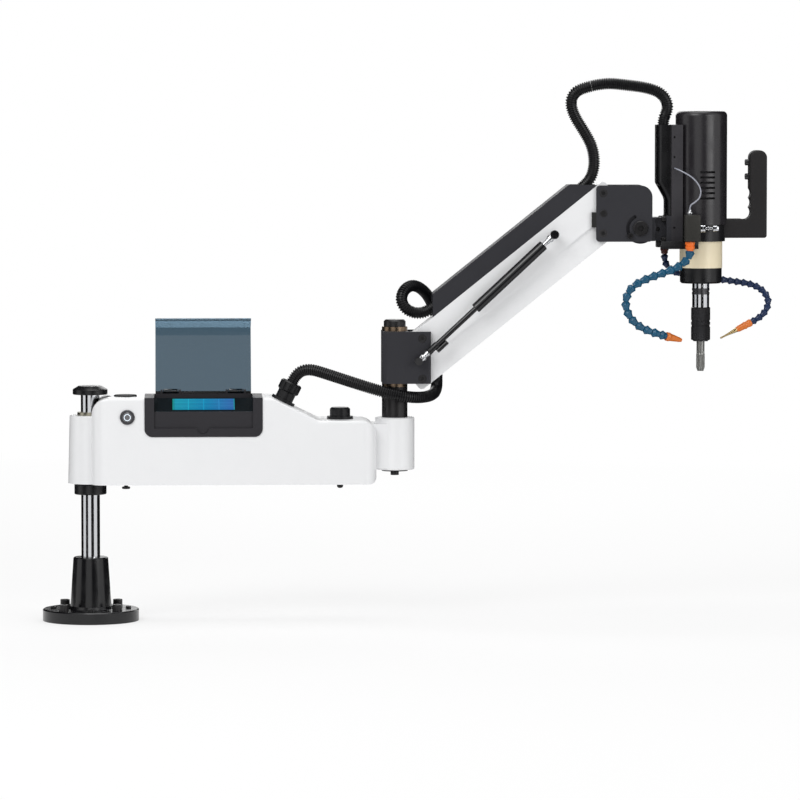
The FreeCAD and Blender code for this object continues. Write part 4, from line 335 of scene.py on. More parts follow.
print("routes", len(elbow_route), len(loop_route), len(rise_route), len(top_route))

# %% Smooth lines through the routes
CURVE_STEPS = 12


def smooth_curve(name, route):
    """Curve data of one NURBS spline with the route's points as its control points."""
    curve = bpy.data.curves.new(name, "CURVE")
    curve.dimensions = "3D"
    curve.resolution_u = CURVE_STEPS
    spline = curve.splines.new("NURBS")
    spline.points.add(len(route) - 1)
    for knot, place in zip(spline.points, route):
        knot.co = (*(place * MM), 1.0)
    spline.order_u = 3
    spline.use_endpoint_u = True
    return curve


def line_of(name, route):
    """Points read from the route's NURBS curve."""
    holder = bpy.data.objects.new(name, smooth_curve(name, route))
    mesh = bpy.data.meshes.new_from_object(holder)
    line = [vertex.co.copy() for vertex in mesh.vertices]
    bpy.data.objects.remove(holder)
    bpy.data.meshes.remove(mesh)
    return line


def line_length(line):
    """Length of a line, from point to point."""
    return sum((b - a).length for a, b in zip(line, line[1:]))


def stations(line, count):
    """Evenly spaced places along a line: the middle of each of count equal stretches."""
    step = line_length(line) / count
    found = []
    walked = 0.0
    target = step / 2
    for a, b in zip(line, line[1:]):
        stretch = (b - a).length
        while target <= walked + stretch + 1e-9 and len(found) < count:
            found.append((a.lerp(b, (target - walked) / stretch), (b - a).normalized()))
            target += step
        walked += stretch
    return found


print("lines are read at", CURVE_STEPS, "steps to a point")

# %% [markdown]
# ## Ribbed conduit
#
# Corrugated nylon conduit is a thin tube blown into hundreds of small rings. A bump map on a smooth
# tube would do from far off, but the rings also make the outline. Here they are real: a round bevel
# runs along the line, and its radius goes in and out once for every ring.

# %% Helpers for spun and strung shapes
MERGED = 1e-7    # points closer than this, in metres, become one


def spun(profile, steps):
    """Ring spun about Z from (radius, height) points."""
    bm = bmesh.new()
    knots = [bm.verts.new((radius, 0, height)) for radius, height in profile]
    edges = [bm.edges.new(pair) for pair in zip(knots, knots[1:])]
    bmesh.ops.spin(
        bm,
        geom=knots + edges,
        axis=(0, 0, 1),
        cent=(0, 0, 0),
        angle=2 * math.pi,
        steps=steps,
        use_merge=True,
    )
    bmesh.ops.remove_doubles(bm, verts=bm.verts, dist=MERGED)
    bmesh.ops.recalc_face_normals(bm, faces=bm.faces)
    return bm


def set_up(place, way):
    """Matrix that stands a shape made on Z at a place, pointing along way."""
    return Matrix.Translation(place) @ Vector((0, 0, 1)).rotation_difference(way).to_matrix().to_4x4()


def strung(name, shape, seats, crease):
    """One mesh with a copy of a shape made on Z at each seat, a seat being a place and a way."""
    one = bpy.data.meshes.new("one")
    shape.to_mesh(one)
    shape.free()
    size = len(one.vertices)
    bm = bmesh.new()
    for place, way in seats:
        bm.from_mesh(one)
        bm.verts.ensure_lookup_table()
        bmesh.ops.transform(bm, matrix=set_up(Vector(place), Vector(way)), verts=bm.verts[-size:])
    bpy.data.meshes.remove(one)
    return smooth(new_object(name, bm), crease)


def tube_of(name, curve):
    """Object made from a curve with a round bevel."""
    curve.bevel_resolution = 5
    curve.use_fill_caps = True
    holder = bpy.data.objects.new(name + " curve", curve)
    mesh = bpy.data.meshes.new_from_object(holder)
    bpy.data.objects.remove(holder)
    bm = bmesh.new()
    bm.from_mesh(mesh)
    bpy.data.meshes.remove(mesh)
    bmesh.ops.remove_doubles(bm, verts=bm.verts, dist=MERGED)
    bmesh.ops.recalc_face_normals(bm, faces=bm.faces)
    return smooth(new_object(name, bm), 35)


print("helpers: spun, set_up, strung, tube_of")

# %% Corrugated tube
CONDUIT_RADIUS = 11.0 * MM
RIB_PITCH = 4.0 * MM
RIB = ((-0.42, 0.80), (-0.24, 1.0), (0.24, 1.0), (0.42, 0.80))    # shares of the pitch and of the radius


def ribbed_conduit(name, route):
    """Corrugated tube that follows a route, and the line that it follows."""
    line = line_of(name + " line", route)
    count = round(line_length(line) / RIB_PITCH)
    knots = [
        (place + way * RIB_PITCH * along, share)
        for place, way in stations(line, count)
        for along, share in RIB
    ]
    curve = bpy.data.curves.new(name, "CURVE")
    curve.dimensions = "3D"
    curve.bevel_depth = CONDUIT_RADIUS
    spline = curve.splines.new("POLY")
    spline.points.add(len(knots) - 1)
    for knot, (place, share) in zip(spline.points, knots):
        knot.co = (*place, 1.0)
        knot.radius = share
    return tube_of(name, curve), line


conduits = {}
for name, route in {
    "conduit_elbow": elbow_route,
    "conduit_loop": loop_route,
    "conduit_inner": inner_route,
    "conduit_rise": rise_route,
    "conduit_top": top_route,
}.items():
    piece, line = ribbed_conduit(name + "_ribs", route)
    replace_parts(piece, name)
    conduits[name] = (piece, line)
    print(name, "length", round(line_length(line), 4), "faces", len(piece.data.polygons))

# %% [markdown]
# The conduit is one length on the machine, but it crosses four joints. Each stretch is a piece of its
# own; the four at the joints stay fixed where they are drawn, and the middle one lies in the cable cover
# and rides on the upper arm.

# %% Conduit stretches at the joints
CONDUIT_BENDS = {
    "conduit_elbow": ("base_arm", "elbow", (0.44, -0.03, 0.43), (0.66, 0.0, 0.43)),
    "conduit_loop": ("elbow", "upper_arm", (0.657, 0.064, 0.505), (0.657, 0.064, 0.600)),
    "conduit_rise": ("upper_arm", "head_frame", (0.930, 0, 0.830), (0.930, 0, 0.985)),
    "conduit_top": ("head_frame", "head", (0.955, 0, 0.995), (1.075, 0, 0.955)),
}
for name, (piece, line) in conduits.items():
    if name in CONDUIT_BENDS:
        body_a, body_b, start, end = CONDUIT_BENDS[name]
        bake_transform(piece)
    else:
        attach(piece, "upper_arm")
print("conduit stretches", len(conduits))

# %% [markdown]
# ## Segmented coolant hoses
#
# These hoses are strings of snap-together cups. Each cup has a round socket that grips the ball of
# the one before it, so the outline goes in and out once per cup. One cup is spun from its profile,
# and copies of it are strung along the line.

# %% Hose cups
CUP_LENGTH = 16.0 * MM
FAR_HOSE_SCALE = 0.82
CUP_PROFILE = [
    (4.8, -8.2), (6.0, -7.2), (8.5, -4.0), (8.9, -3.3), (8.6, -2.6), (7.5, -0.4),
    (6.5, 2.4), (5.9, 4.8), (5.9, 6.2), (5.4, 7.4), (4.6, 8.2),
]


def cup_hose(name, route, scale):
    """Cups strung along a route, and the line that they follow."""
    line = line_of(name + " line", route)
    count = round(line_length(line) / (CUP_LENGTH * scale))
    cup = spun([(r * scale * MM, h * scale * MM) for r, h in CUP_PROFILE], 24)
    print(name, count, "cups")
    return strung(name, cup, stations(line, count), 60), line


near_hose, near_line = cup_hose("near_hose_cups", near_hose_route, 1.0)
far_hose, far_line = cup_hose("far_hose_cups", far_hose_route, FAR_HOSE_SCALE)

# %% [markdown]
# Each hose ends in a nozzle. The near one is a moulded cone, the far one holds a thin brass pipe.
# All three are spun from closed profiles that go up the outside and down the bore, and are then
# turned to carry on from the last run of the hose.

# %% Nozzles
NOZZLE_PROFILE = [
    (4.8, -2.5), (7.6, -2.5), (8.4, -1.0), (8.4, 4.0), (7.4, 5.5), (6.9, 9.0), (4.4, 27.0),
    (3.5, 30.0), (3.3, 31.0), (1.9, 31.0), (1.7, 20.0), (4.8, 2.0), (4.8, -2.5),
]
GRIP_PROFILE = [
    (4.0, -2.5), (6.4, -2.5), (7.2, -1.0), (7.2, 3.0), (6.4, 4.5), (6.4, 8.0), (7.0, 9.5), (7.0, 12.0),
    (6.2, 13.5), (6.0, 24.0), (4.9, 28.5), (3.2, 29.5), (2.2, 29.5), (2.2, 2.0), (4.0, -2.5),
]
PIPE_PROFILE = [
    (2.2, 22.0), (4.4, 29.0), (3.6, 36.0), (2.3, 47.0), (1.7, 55.0), (1.7, 63.3), (1.1, 63.3),
    (1.1, 40.0), (2.2, 22.0),
]


TURNED_STEPS = 28


def turned(name, profile, foot, way, body):
    """Piece turned from a (radius, length) profile in millimetres, standing on foot along way."""
    bm = spun([(radius * MM, length * MM) for radius, length in profile], TURNED_STEPS)
    bmesh.ops.transform(bm, matrix=set_up(Vector(foot) * MM, Vector(way)), verts=bm.verts)
    piece = smooth(new_object(name, bm), 30)
    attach(piece, body)
    return piece


def set_on_end(name, profile, route):
    """Nozzle whose axis carries on from a route's last run."""
    return turned(name, profile, route[-1], route[-1] - route[-2], "head")


near_nozzle = set_on_end("near_nozzle", NOZZLE_PROFILE, near_hose_route)
far_grip = set_on_end("far_nozzle_grip", GRIP_PROFILE, far_hose_route)
far_pipe = set_on_end("far_nozzle_pipe", PIPE_PROFILE, far_hose_route)
for piece in (near_nozzle, far_grip, far_pipe):
    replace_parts(piece, "hose_nozzles")

for piece, line, node, length, end_pieces in (
    (near_hose, near_line, "hose_near", 0.2793, [near_nozzle]),
    (far_hose, far_line, "hose_far", 0.2983, [far_grip, far_pipe]),
):
    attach(piece, "head")
    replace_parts(piece, node)
    print(node, "length", round(line_length(line), 4))

# %% [markdown]
# The oil tube is plain and thin, so a curve with a round bevel is all that it needs.

# %% Oil tube
OIL_TUBE_RADIUS = 1.35 * MM
oil_curve = smooth_curve("oil tube", oil_route)
oil_curve.bevel_depth = OIL_TUBE_RADIUS
oil_tube = tube_of("oil_tube_line", oil_curve)
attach(oil_tube, "head")
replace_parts(oil_tube, "oil_tube")
line_of("oil line", oil_route)
print("oil tube ready")

# %% [markdown]
# ## Gas strut
#
# A gas strut is a black tube on a black rod, with a bright threaded end on each that screws into a
# ball cup. CAD has one solid for the tube and its eye, and one for the rod and its eye. Here each is
# turned as two pieces, so that the bright ends can have a finish and a shape of their own.

# %% Strut
STRUT_FOOT = Vector((612.75, -57.0, 487.3))
STRUT_HEAD = Vector((865.9, -57.0, 723.2))
STRUT_WAY = (STRUT_HEAD - STRUT_FOOT).normalized()
STRUT_ASIDE = Vector((STRUT_WAY.z, 0, -STRUT_WAY.x))
CLAMP_ASIDE = 9.4    # the small clamp lies this far beside the rod
LINK_FRONT = -33.0    # near face of the upper link
STRUT_PIECES = {
    "strut_tube": ("strut_cylinder", "strut_cylinder_body", [
        (0, 302), (5.2, 302), (5.2, 144), (8.6, 144), (9.7, 145.2), (9.7, 316.8), (8.4, 318), (0, 318),
    ]),
    "strut_neck": ("strut_cylinder", "strut_cylinder_body", [
        (0, 317), (4.4, 317), (4.4, 325), (5.2, 326), (5.2, 331), (7.2, 332), (7.2, 337), (6.0, 338.5),
        (5.2, 342), (3.0, 345), (0, 346),
    ]),
    "strut_shaft": ("strut_rod", "strut_rod_body", [
        (0, 24), (6.0, 24), (6.3, 25), (6.3, 47), (5.0, 48.5), (5.0, 280), (0, 280),
    ]),
    "strut_foot": ("strut_rod", "strut_rod_body", [
        (0, 3), (5.2, 4.5), (7.2, 8), (7.2, 13), (4.6, 14), (4.6, 18), (5.4, 19), (5.4, 25), (0, 25),
    ]),
}
for name, (node, body, profile) in STRUT_PIECES.items():
    piece = turned(name, profile, STRUT_FOOT, STRUT_WAY, body)
    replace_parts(piece, node)
turned(
    "rod_clamp", [(0, 38), (3.6, 38), (4.4, 39), (4.4, 63), (3.6, 64), (0, 64)],
    STRUT_FOOT + STRUT_ASIDE * CLAMP_ASIDE, STRUT_WAY, "strut_rod_body",
)
top_stud = turned(
    "strut_top_stud",
    [
        (0, 0), (6.5, 0), (6.5, 2), (4.5, 3), (4.5, 17), (7.2, 18.5), (8.2, 20), (8.2, 30.5),
        (7.2, 32.3), (4.4, 32.3), (3.8, 30.4), (0, 30.4),
    ],
    (STRUT_HEAD.x, LINK_FRONT, STRUT_HEAD.z), (0, -1, 0), "upper_arm",
)
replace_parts(top_stud, "link_stud")
print("strut pieces", len(STRUT_PIECES) + 2)

# %% [markdown]
# ## Lubricator
#
# The lubricator is a small rough casting. Oil comes in through a bright port on top, a needle with a
# knurled knob sets the flow, and the hose screws into an orange fitting below. Its bracket is a black
# plate behind the fitting. A casting has soft edges, so its block is bevelled all round.

# %% Blocks
def soft_block(name, low, high, bevel, body):
    """Box between two corners in millimetres, with rounded edges."""
    bm = bmesh.new()
    bmesh.ops.create_cube(bm, size=1.0)
    low = Vector(low) * MM
    high = Vector(high) * MM
    bmesh.ops.scale(bm, vec=high - low, verts=bm.verts)
    bmesh.ops.translate(bm, vec=(low + high) / 2, verts=bm.verts)
    bmesh.ops.bevel(
        bm, geom=bm.edges[:], offset=bevel * MM, segments=3, profile=0.5, affect="EDGES", material=-1
    )
    piece = smooth(new_object(name, bm), 40)
    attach(piece, body)
    return piece


for name, low, high, bevel in (
    ("lubricator_body", (1107.2, -80, 710.2), (1136.8, -52, 760), 2.2),
    ("near_hose_bracket", (1066, -55, 695.8), (1135, -38.1, 710.0), 0.8),
    ("rear_hose_bracket", (1066, 38.1, 695.8), (1107, 69.5, 709.9), 0.8),
):
    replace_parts(soft_block(name, low, high, bevel, "head"), "lubricator")
print("lubricator and brackets ready")

# %% Ports, fittings and needle
OIL_Y = -66.0
NEEDLE_Z = 734.5
oil_port = turned(
    "oil_port",
    [(0, 0), (4.8, 0), (5.3, 1.2), (5.3, 4.5), (4.3, 6), (2.6, 7), (2.6, 9.8), (1.4, 9.8), (0, 9.0)],
    (1117.5, OIL_Y, 759.8), (0, 0, 1), "head",
)
needle_gland = turned(
    "needle_gland",
    [
        (3.2, 0), (6.8, 0), (7.4, 1), (7.4, 4.2), (6.6, 5), (6.6, 5.8), (7.2, 6.4), (7.2, 9),
        (6.0, 10.4), (3.2, 10.4), (3.2, 0),
    ],
    (1136.6, OIL_Y, NEEDLE_Z), (1, 0, 0), "head",
)
needle = turned(
    "needle_and_knob",
    [
        (0, 0), (2.8, 0), (2.8, 37), (4.0, 38), (4.0, 40), (2.3, 41), (2.3, 46.5), (5.4, 47), (6.3, 48),
        (6.3, 50.5), (5.7, 51), (5.7, 52), (6.3, 52.5), (6.3, 56.5), (5.5, 58), (0, 58),
    ],
    (1113.0, OIL_Y, NEEDLE_Z), (1, 0, 0), "needle",
)
near_fitting = turned(
    "near_hose_fitting",
    [
        (0, 0), (7.5, 0), (9.2, 1.5), (9.2, 6), (8.0, 7), (8.0, 8.6), (9.0, 9.6), (8.6, 13),
        (6.6, 16), (5.6, 20), (0, 20),
    ],
    (1118.0, OIL_Y, 710.4), (0, 0, -1), "head",
)
rear_fitting = turned(
    "rear_hose_fitting",
    [(0, 0), (6.4, 0), (8.0, 1.5), (8.0, 6), (6.6, 7.5), (6.6, 11), (5.2, 13.4), (0, 13.4)],
    (1082.0, 58.0, 696.0), (0, 0, -1), "head",
)
for piece, node in (
    (oil_port, "lubricator"),
    (needle_gland, "lubricator"),
    (needle, "needle_knob"),
    (near_fitting, "hose_fittings"),
    (rear_fitting, "hose_fittings"),
):
    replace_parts(piece, node)
print("lubricator dressed")

# %% [markdown]
# ## Console lid
#
# The lid is a sheet of acrylic with a folded lip. It is drawn closed, as a bent strip seen from its
# end, pulled out to its width, and then turned about its hinges to where it stands open. Two leaves
# of the same acrylic with barrels carry it.

# %% Lid and hinge leaves
HINGE_Y = 61.0
HINGE_Z = 425.0
LID_SPAN = (121.7, 301.7)
LID_OPEN = math.radians(-109)
LID_SECTION = [
    (61.0, 423.0), (61.0, 426.0), (-62.3, 426.0), (-65.1, 424.8), (-66.3, 422.0), (-66.3, 370.0),
    (-63.3, 370.0), (-63.3, 421.8), (-64.0, 423.0),
]
opened = (
    Matrix.Translation((0, HINGE_Y * MM, HINGE_Z * MM))
    @ Matrix.Rotation(LID_OPEN, 4, "X")
    @ Matrix.Translation((0, -HINGE_Y * MM, -HINGE_Z * MM))
)
lid_bm = bmesh.new()
section = lid_bm.faces.new([lid_bm.verts.new((LID_SPAN[0] * MM, y * MM, z * MM)) for y, z in LID_SECTION])
pulled = bmesh.ops.extrude_face_region(lid_bm, geom=[section])["geom"]
far_end = [item for item in pulled if isinstance(item, bmesh.types.BMVert)]
bmesh.ops.translate(lid_bm, verts=far_end, vec=((LID_SPAN[1] - LID_SPAN[0]) * MM, 0, 0))
bmesh.ops.transform(lid_bm, matrix=opened, verts=lid_bm.verts)
bmesh.ops.recalc_face_normals(lid_bm, faces=lid_bm.faces)
lid = smooth(new_object("lid_sheet", lid_bm), 35)
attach(lid, "lid")
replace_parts(lid, "console_lid")
LEAF_HALF = 13.0
BARREL_PROFILE = [(0, -15), (2.9, -15), (3.5, -14.4), (3.5, 14.4), (2.9, 15), (0, 15)]
leaves = []
for number, middle in enumerate((150.5, 272.9)):
    leaf = soft_block(
        "lid_leaf_" + str(number),
        (middle - LEAF_HALF, 56.5, 422.6), (middle + LEAF_HALF, 61.5, 426.4),
        0.4, "lid",
    )
    leaf.data.transform(opened)
    barrel = turned(
        "lid_barrel_" + str(number), BARREL_PROFILE,
        (middle, HINGE_Y, HINGE_Z), (1, 0, 0), "lid",
    )
    for piece in (leaf, barrel):
        leaves.append(piece.name)
        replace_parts(piece, "console_lid")
print("lid with", len(leaves), "hinge pieces")

# %% [markdown]
# ## Small parts that CAD leaves out
#
# Two rubber bumpers keep the swung arm off the case below, a strip closes the back of the console
# under the lid's hinges, and a screw fills the cross hole of the tilt bracket.

# %% Bumpers, strip and screw
BUMPER_Y = -46.0
CASE_FLOOR = 258.2
turned(
    "left_bumper", [(0, 0), (3.6, 0), (3.6, 3.2), (7.6, 4.2), (7.6, 7), (6.6, 8), (0, 8)],
    (67.0, BUMPER_Y, CASE_FLOOR), (0, 0, -1), "base_arm",
)
turned(
    "right_bumper", [(0, 0), (5.8, 0), (5.8, 4), (5.0, 6.2), (3.0, 7.5), (0, 8)],
    (466.0, BUMPER_Y, CASE_FLOOR), (0, 0, -1), "base_arm",
)
soft_block(
    "hinge_strip", (LID_SPAN[0], 62.6, 419.0), (LID_SPAN[1], 64.8, 424.6), 0.4, "base_arm"
)
turned(
    "bracket_screw", [(0, 0), (3.2, 0), (3.8, 0.6), (3.8, 29.4), (3.2, 30), (0, 30)],
    (1062.0, -15.0, 732.0), (0, 1, 0), "head",
)
print("small parts ready")

# %% [markdown]
# ## Finishes
#
# Real paint and metal are never one flat colour: the tone drifts a little, the gloss has patches, and
# the surface has a fine grain. Each finish below is one Principled shader with three noises on Object
# coordinates, which stay fixed to the piece: a broad one for tone, one for gloss, a fine one for bump.

# %% One helper for all finishes
GLOSS_PATCHES = 30.0    # waves per metre
NOISE_SPAN = (0.3, 0.7)    # most of a noise lies between these
BUMP_STRENGTH = 0.6
COAT_ROUGHNESS = 0.15


def scaled_noise(tree, coords, scale, stretch=(1, 1, 1), detail=2.0):
    """Noise on Object coordinates; scale is in waves per metre."""
    mapping = tree.nodes.new("ShaderNodeMapping")
    mapping.inputs["Scale"].default_value = stretch
    noise = tree.nodes.new("ShaderNodeTexNoise")
    noise.inputs["Scale"].default_value = scale
    noise.inputs["Detail"].default_value = detail
    linked(tree, coords, mapping.inputs["Vector"])
    linked(tree, mapping.outputs["Vector"], noise.inputs["Vector"])
    return noise.outputs["Fac"]


def ranged(tree, value, low, high):
    """Spreads a noise value over a range."""
    spread = tree.nodes.new("ShaderNodeMapRange")
    spread.inputs["From Min"].default_value = NOISE_SPAN[0]
    spread.inputs["From Max"].default_value = NOISE_SPAN[1]
    spread.inputs["To Min"].default_value = low
    spread.inputs["To Max"].default_value = high
    linked(tree, value, spread.inputs["Value"])
    return spread.outputs["Result"]


def finish(name, colour, roughness, metal=0.0, drift=0.06, grain=900.0, depth=0.00004,
           stretch=(1, 1, 1), coat=0.0, gloss_drift=0.06, shine=0.5, patch=14.0):
    """Material with a drifting tone, patchy gloss and a fine grain."""
    material = bpy.data.materials.new(name)
    material.use_nodes = True
    tree = material.node_tree
    shader = tree.nodes["Principled BSDF"]
    coords = tree.nodes.new("ShaderNodeTexCoord").outputs["Object"]
    tone = tree.nodes.new("ShaderNodeMix")
    tone.data_type = "RGBA"
    tone.inputs["A"].default_value = (*[c * (1 - drift) for c in colour], 1)
    tone.inputs["B"].default_value = (*[min(1, c * (1 + drift)) for c in colour], 1)
    linked(tree, scaled_noise(tree, coords, patch, detail=4.0), tone.inputs["Factor"])
    linked(tree, tone.outputs["Result"], shader.inputs["Base Color"])
    patches = scaled_noise(tree, coords, GLOSS_PATCHES)
    gloss = ranged(tree, patches, roughness - gloss_drift, roughness + gloss_drift)
    linked(tree, gloss, shader.inputs["Roughness"])
    shader.inputs["Metallic"].default_value = metal
    shader.inputs["Specular IOR Level"].default_value = shine
    shader.inputs["Coat Weight"].default_value = coat
    shader.inputs["Coat Roughness"].default_value = COAT_ROUGHNESS
    bump = tree.nodes.new("ShaderNodeBump")
    bump.inputs["Strength"].default_value = BUMP_STRENGTH
    bump.inputs["Distance"].default_value = depth
    linked(tree, scaled_noise(tree, coords, grain, stretch), bump.inputs["Height"])
    linked(tree, bump.outputs["Normal"], shader.inputs["Normal"])
    return material


def wear(*names, material):
    """Gives CAD nodes or pieces a finish."""
    for name in names:
        piece = nodes.get(name) or bpy.data.objects[name]
        piece.data.materials.clear()
        piece.data.materials.append(material)
    print(material.name, "on", len(names), "pieces")


# %% [markdown]
# ### Paint
#
# The white parts are sprayed with a smooth enamel. Under a lamp it shows a faint orange peel a
# millimetre or two across. Black castings are satin, the grip is a coarser moulded grain.

# %% Painted parts
white_enamel = finish(
    "white enamel", (0.80, 0.805, 0.815), 0.34, grain=420, depth=0.00003, drift=0.015, coat=0.25
)
black_satin = finish(
    "black satin paint", (0.007, 0.007, 0.008), 0.3, grain=700, depth=0.00004, drift=0.2,
    shine=0.35,
)
black_gloss = finish(
    "black gloss paint", (0.005, 0.005, 0.006), 0.2, grain=500, depth=0.00002, drift=0.2,
    shine=0.45,
)
hood_black = finish(
    "hood paint", (0.017, 0.0155, 0.018), 0.26, grain=600, depth=0.00003, drift=0.15, shine=0.45
)
slate_paint = finish(
    "slate paint", (0.031, 0.031, 0.036), 0.5, grain=900, depth=0.00005, drift=0.1, shine=0.15
)
cream_enamel = finish(
    "cream enamel", (0.82, 0.72, 0.51), 0.38, grain=420, depth=0.00003, drift=0.03, coat=0.2
)
wear("arm_housing", "bottom_cover", "upper_link", "lower_link", material=white_enamel)
wear("column_cap", "motor_flange", "nose_ring", "conduit_housing", material=black_satin)
wear("near_hose_bracket", "rear_hose_bracket", "hinge_strip", material=black_satin)
wear("pedestal", "strut_tube", "strut_shaft", "rod_clamp", "strut_top_stud", material=black_gloss)
wear("motor_cover", material=hood_black)
wear("cable_cover", "side_plates", "elbow_block", "tilt_bracket", material=slate_paint)
wear("spindle_housing", material=cream_enamel)

# %% [markdown]
# ### Metals
#
# A ground shaft keeps fine rings from the wheel, so its grain is squeezed along the axis. The noise is
# stretched instead of drawn line by line: real grinding marks are uneven. Anodised parts are metal
# too, but dark and dull.

# %% Metal parts
hard_chrome = finish(
    "hard chrome", (0.62, 0.63, 0.65), 0.11, metal=1.0, grain=30, depth=0.00001, stretch=(1, 1, 70),
    drift=0.03, gloss_drift=0.03,
)
bronze = finish(
    "dark bronze", (0.20, 0.145, 0.10), 0.26, metal=1.0, grain=40, depth=0.00002,
    stretch=(1, 1, 40), drift=0.2,
)
pale_bronze = finish(
    "pale bronze", (0.36, 0.34, 0.27), 0.3, metal=1.0, grain=40, depth=0.00002, stretch=(1, 1, 40),
    drift=0.12,
)
black_oxide = finish(
    "black oxide", (0.022, 0.021, 0.022), 0.3, metal=0.4, grain=800, depth=0.00002, drift=0.15,
    shine=0.4,
)
black_anodised = finish(
    "black anodised", (0.010, 0.010, 0.011), 0.32, metal=0.3, grain=30, depth=0.00002,
    stretch=(1, 1, 60), drift=0.1,
)
grey_anodised = finish(
    "grey anodised", (0.045, 0.043, 0.048), 0.4, metal=0.3, grain=30, depth=0.00003,
    stretch=(8, 8, 60), drift=0.08, shine=0.3,
)
bright_steel = finish(
    "bright steel", (0.50, 0.50, 0.51), 0.22, metal=1.0, grain=60, depth=0.00002,
    stretch=(1, 1, 30), drift=0.06,
)
dark_steel = finish(
    "dark steel", (0.07, 0.07, 0.075), 0.3, metal=0.8, grain=300, depth=0.00002, drift=0.1
)
cast_black = finish(
    "black casting", (0.020, 0.019, 0.016), 0.55, metal=0.2, grain=1400, depth=0.0003, drift=0.7,
    shine=0.4, patch=700,
)
wear(
    "column", "spindle", "strut_neck", "strut_foot", "needle_and_knob", "needle_gland", "oil_port",
    material=hard_chrome,
)
wear("elbow_bushes", material=bronze)
wear("column_bushes", material=pale_bronze)
wear("base_screws", "elbow_caps", "head_screws", "elbow_shaft", "bracket_screw", material=black_oxide)
pin_steel = finish(
    "pin steel", (0.045, 0.044, 0.046), 0.3, metal=0.5, grain=500, depth=0.00002, drift=0.12,
    shine=0.4,
)
wear("elbow_pins", "head_pins", material=pin_steel)
wear("lock_collar", material=black_anodised)
wear("carrier_plate", material=grey_anodised)
wear("spindle_bearings", material=bright_steel)
wear("servo_motor", "chuck_inserts", "power_button_ring", material=dark_steel)
wear("lubricator_body", material=cast_black)

# %% [markdown]
# ### Plastics and rubber
#
# Moulded nylon copies the fine grain of its mould and shines little; the grip's grain is coarse enough
# to feel. Rubber is duller still. The hoses and nozzles are smooth acetal in strong colours, whose
# tone drifts from cup to cup, so their noise is denser than that of the large parts.

# %% Moulded parts
black_nylon = finish(
    "black nylon", (0.006, 0.006, 0.007), 0.34, grain=1500, depth=0.00004, drift=0.2, shine=0.3
)
grip_grain = finish(
    "grip grain", (0.018, 0.017, 0.0175), 0.6, grain=2200, depth=0.0002, drift=0.12, shine=0.15
)
bezel_grey = finish(
    "bezel moulding", (0.030, 0.029, 0.033), 0.45, grain=1500, depth=0.00006, drift=0.06,
    shine=0.15,
)
panel_black = finish(
    "panel black", (0.007, 0.010, 0.012), 0.7, grain=1500, depth=0.00003, drift=0.1, shine=0.02
)
button_black = finish(
    "button black", (0.03, 0.03, 0.032), 0.25, grain=900, depth=0.00002, drift=0.1, coat=0.3
)
rubber = finish(
    "black rubber", (0.014, 0.014, 0.014), 0.6, grain=1800, depth=0.0001, drift=0.15, shine=0.25
)
hose_blue = finish(
    "hose blue", (0.003, 0.075, 0.150), 0.3, grain=500, depth=0.00003, drift=0.3, shine=0.45,
    patch=60,
)
hose_navy = finish(
    "hose navy", (0.006, 0.020, 0.068), 0.32, grain=500, depth=0.00003, drift=0.3, shine=0.4,
    patch=60,
)
nozzle_orange = finish(
    "nozzle orange", (0.66, 0.16, 0.014), 0.34, grain=600, depth=0.00003, drift=0.15, coat=0.1
)
brass = finish("brass", (0.60, 0.45, 0.22), 0.22, metal=1.0, grain=200, depth=0.00001, drift=0.1)
fitting_orange = finish(
    "fitting orange", (0.80, 0.15, 0.012), 0.35, grain=600, depth=0.00003, drift=0.15
)
# The rear fitting is the same orange moulding as the near one; this dark red is its orange in painted
# shade, where it sits behind the head.
shaded_fitting_orange = finish(
    "fitting orange in painted shade", (0.055, 0.010, 0.009), 0.4, grain=600, depth=0.00003, drift=0.2, shine=0.35
)
clear_tube = finish(
    "clear tube", (0.30, 0.31, 0.36), 0.2, grain=600, depth=0.00001, drift=0.1, patch=120
)
wear("cable_glands", "drive_units", material=black_nylon)
wear("handle", material=grip_grain)
wear("console_bezel", material=bezel_grey)
wear("control_panel", material=panel_black)
wear("start_button", "reverse_button", material=button_black)
wear("case_plugs", "frame_blocks", "left_bumper", "right_bumper", material=rubber)
wear("near_hose_cups", material=hose_blue)
wear("far_hose_cups", material=hose_navy)
wear("near_nozzle", "far_nozzle_grip", material=nozzle_orange)
wear("far_nozzle_pipe", material=brass)
wear("near_hose_fitting", material=fitting_orange)
# The rear fitting wears the orange in painted shade.
wear("rear_hose_fitting", material=shaded_fitting_orange)
wear("oil_tube_line", material=clear_tube)
wear(*[piece.name for piece, line in conduits.values()], material=black_nylon)

# %% [markdown]
# ### Patterns that follow a shape
#
# Knurling is two sets of slanted grooves round an axis. On Object coordinates the angle about the
# axis comes from an arctangent, so the grooves close round the sleeve with no seam. The same idea,
# with height alone, cuts the thread of the tap.

# %% Knurled and threaded metal
def axis_parts(tree):
    """Object coordinates split in three."""
    coords = tree.nodes.new("ShaderNodeTexCoord").outputs["Object"]
    split = tree.nodes.new("ShaderNodeSeparateXYZ")
    linked(tree, coords, split.inputs[0])
    return split.outputs["X"], split.outputs["Y"], split.outputs["Z"]


def sine(tree, value):
    return math_node(tree, "SINE", value, 0.0)


def grooved(material, height, depth):
    """Puts a height pattern under the material's grain."""
    tree = material.node_tree
    shader = tree.nodes["Principled BSDF"]
    grain = shader.inputs["Normal"].links[0].from_node
    bump = tree.nodes.new("ShaderNodeBump")
    bump.inputs["Strength"].default_value = 1.0
    bump.inputs["Distance"].default_value = depth
    linked(tree, height, bump.inputs["Height"])
    linked(tree, bump.outputs["Normal"], grain.inputs["Normal"])
    return material


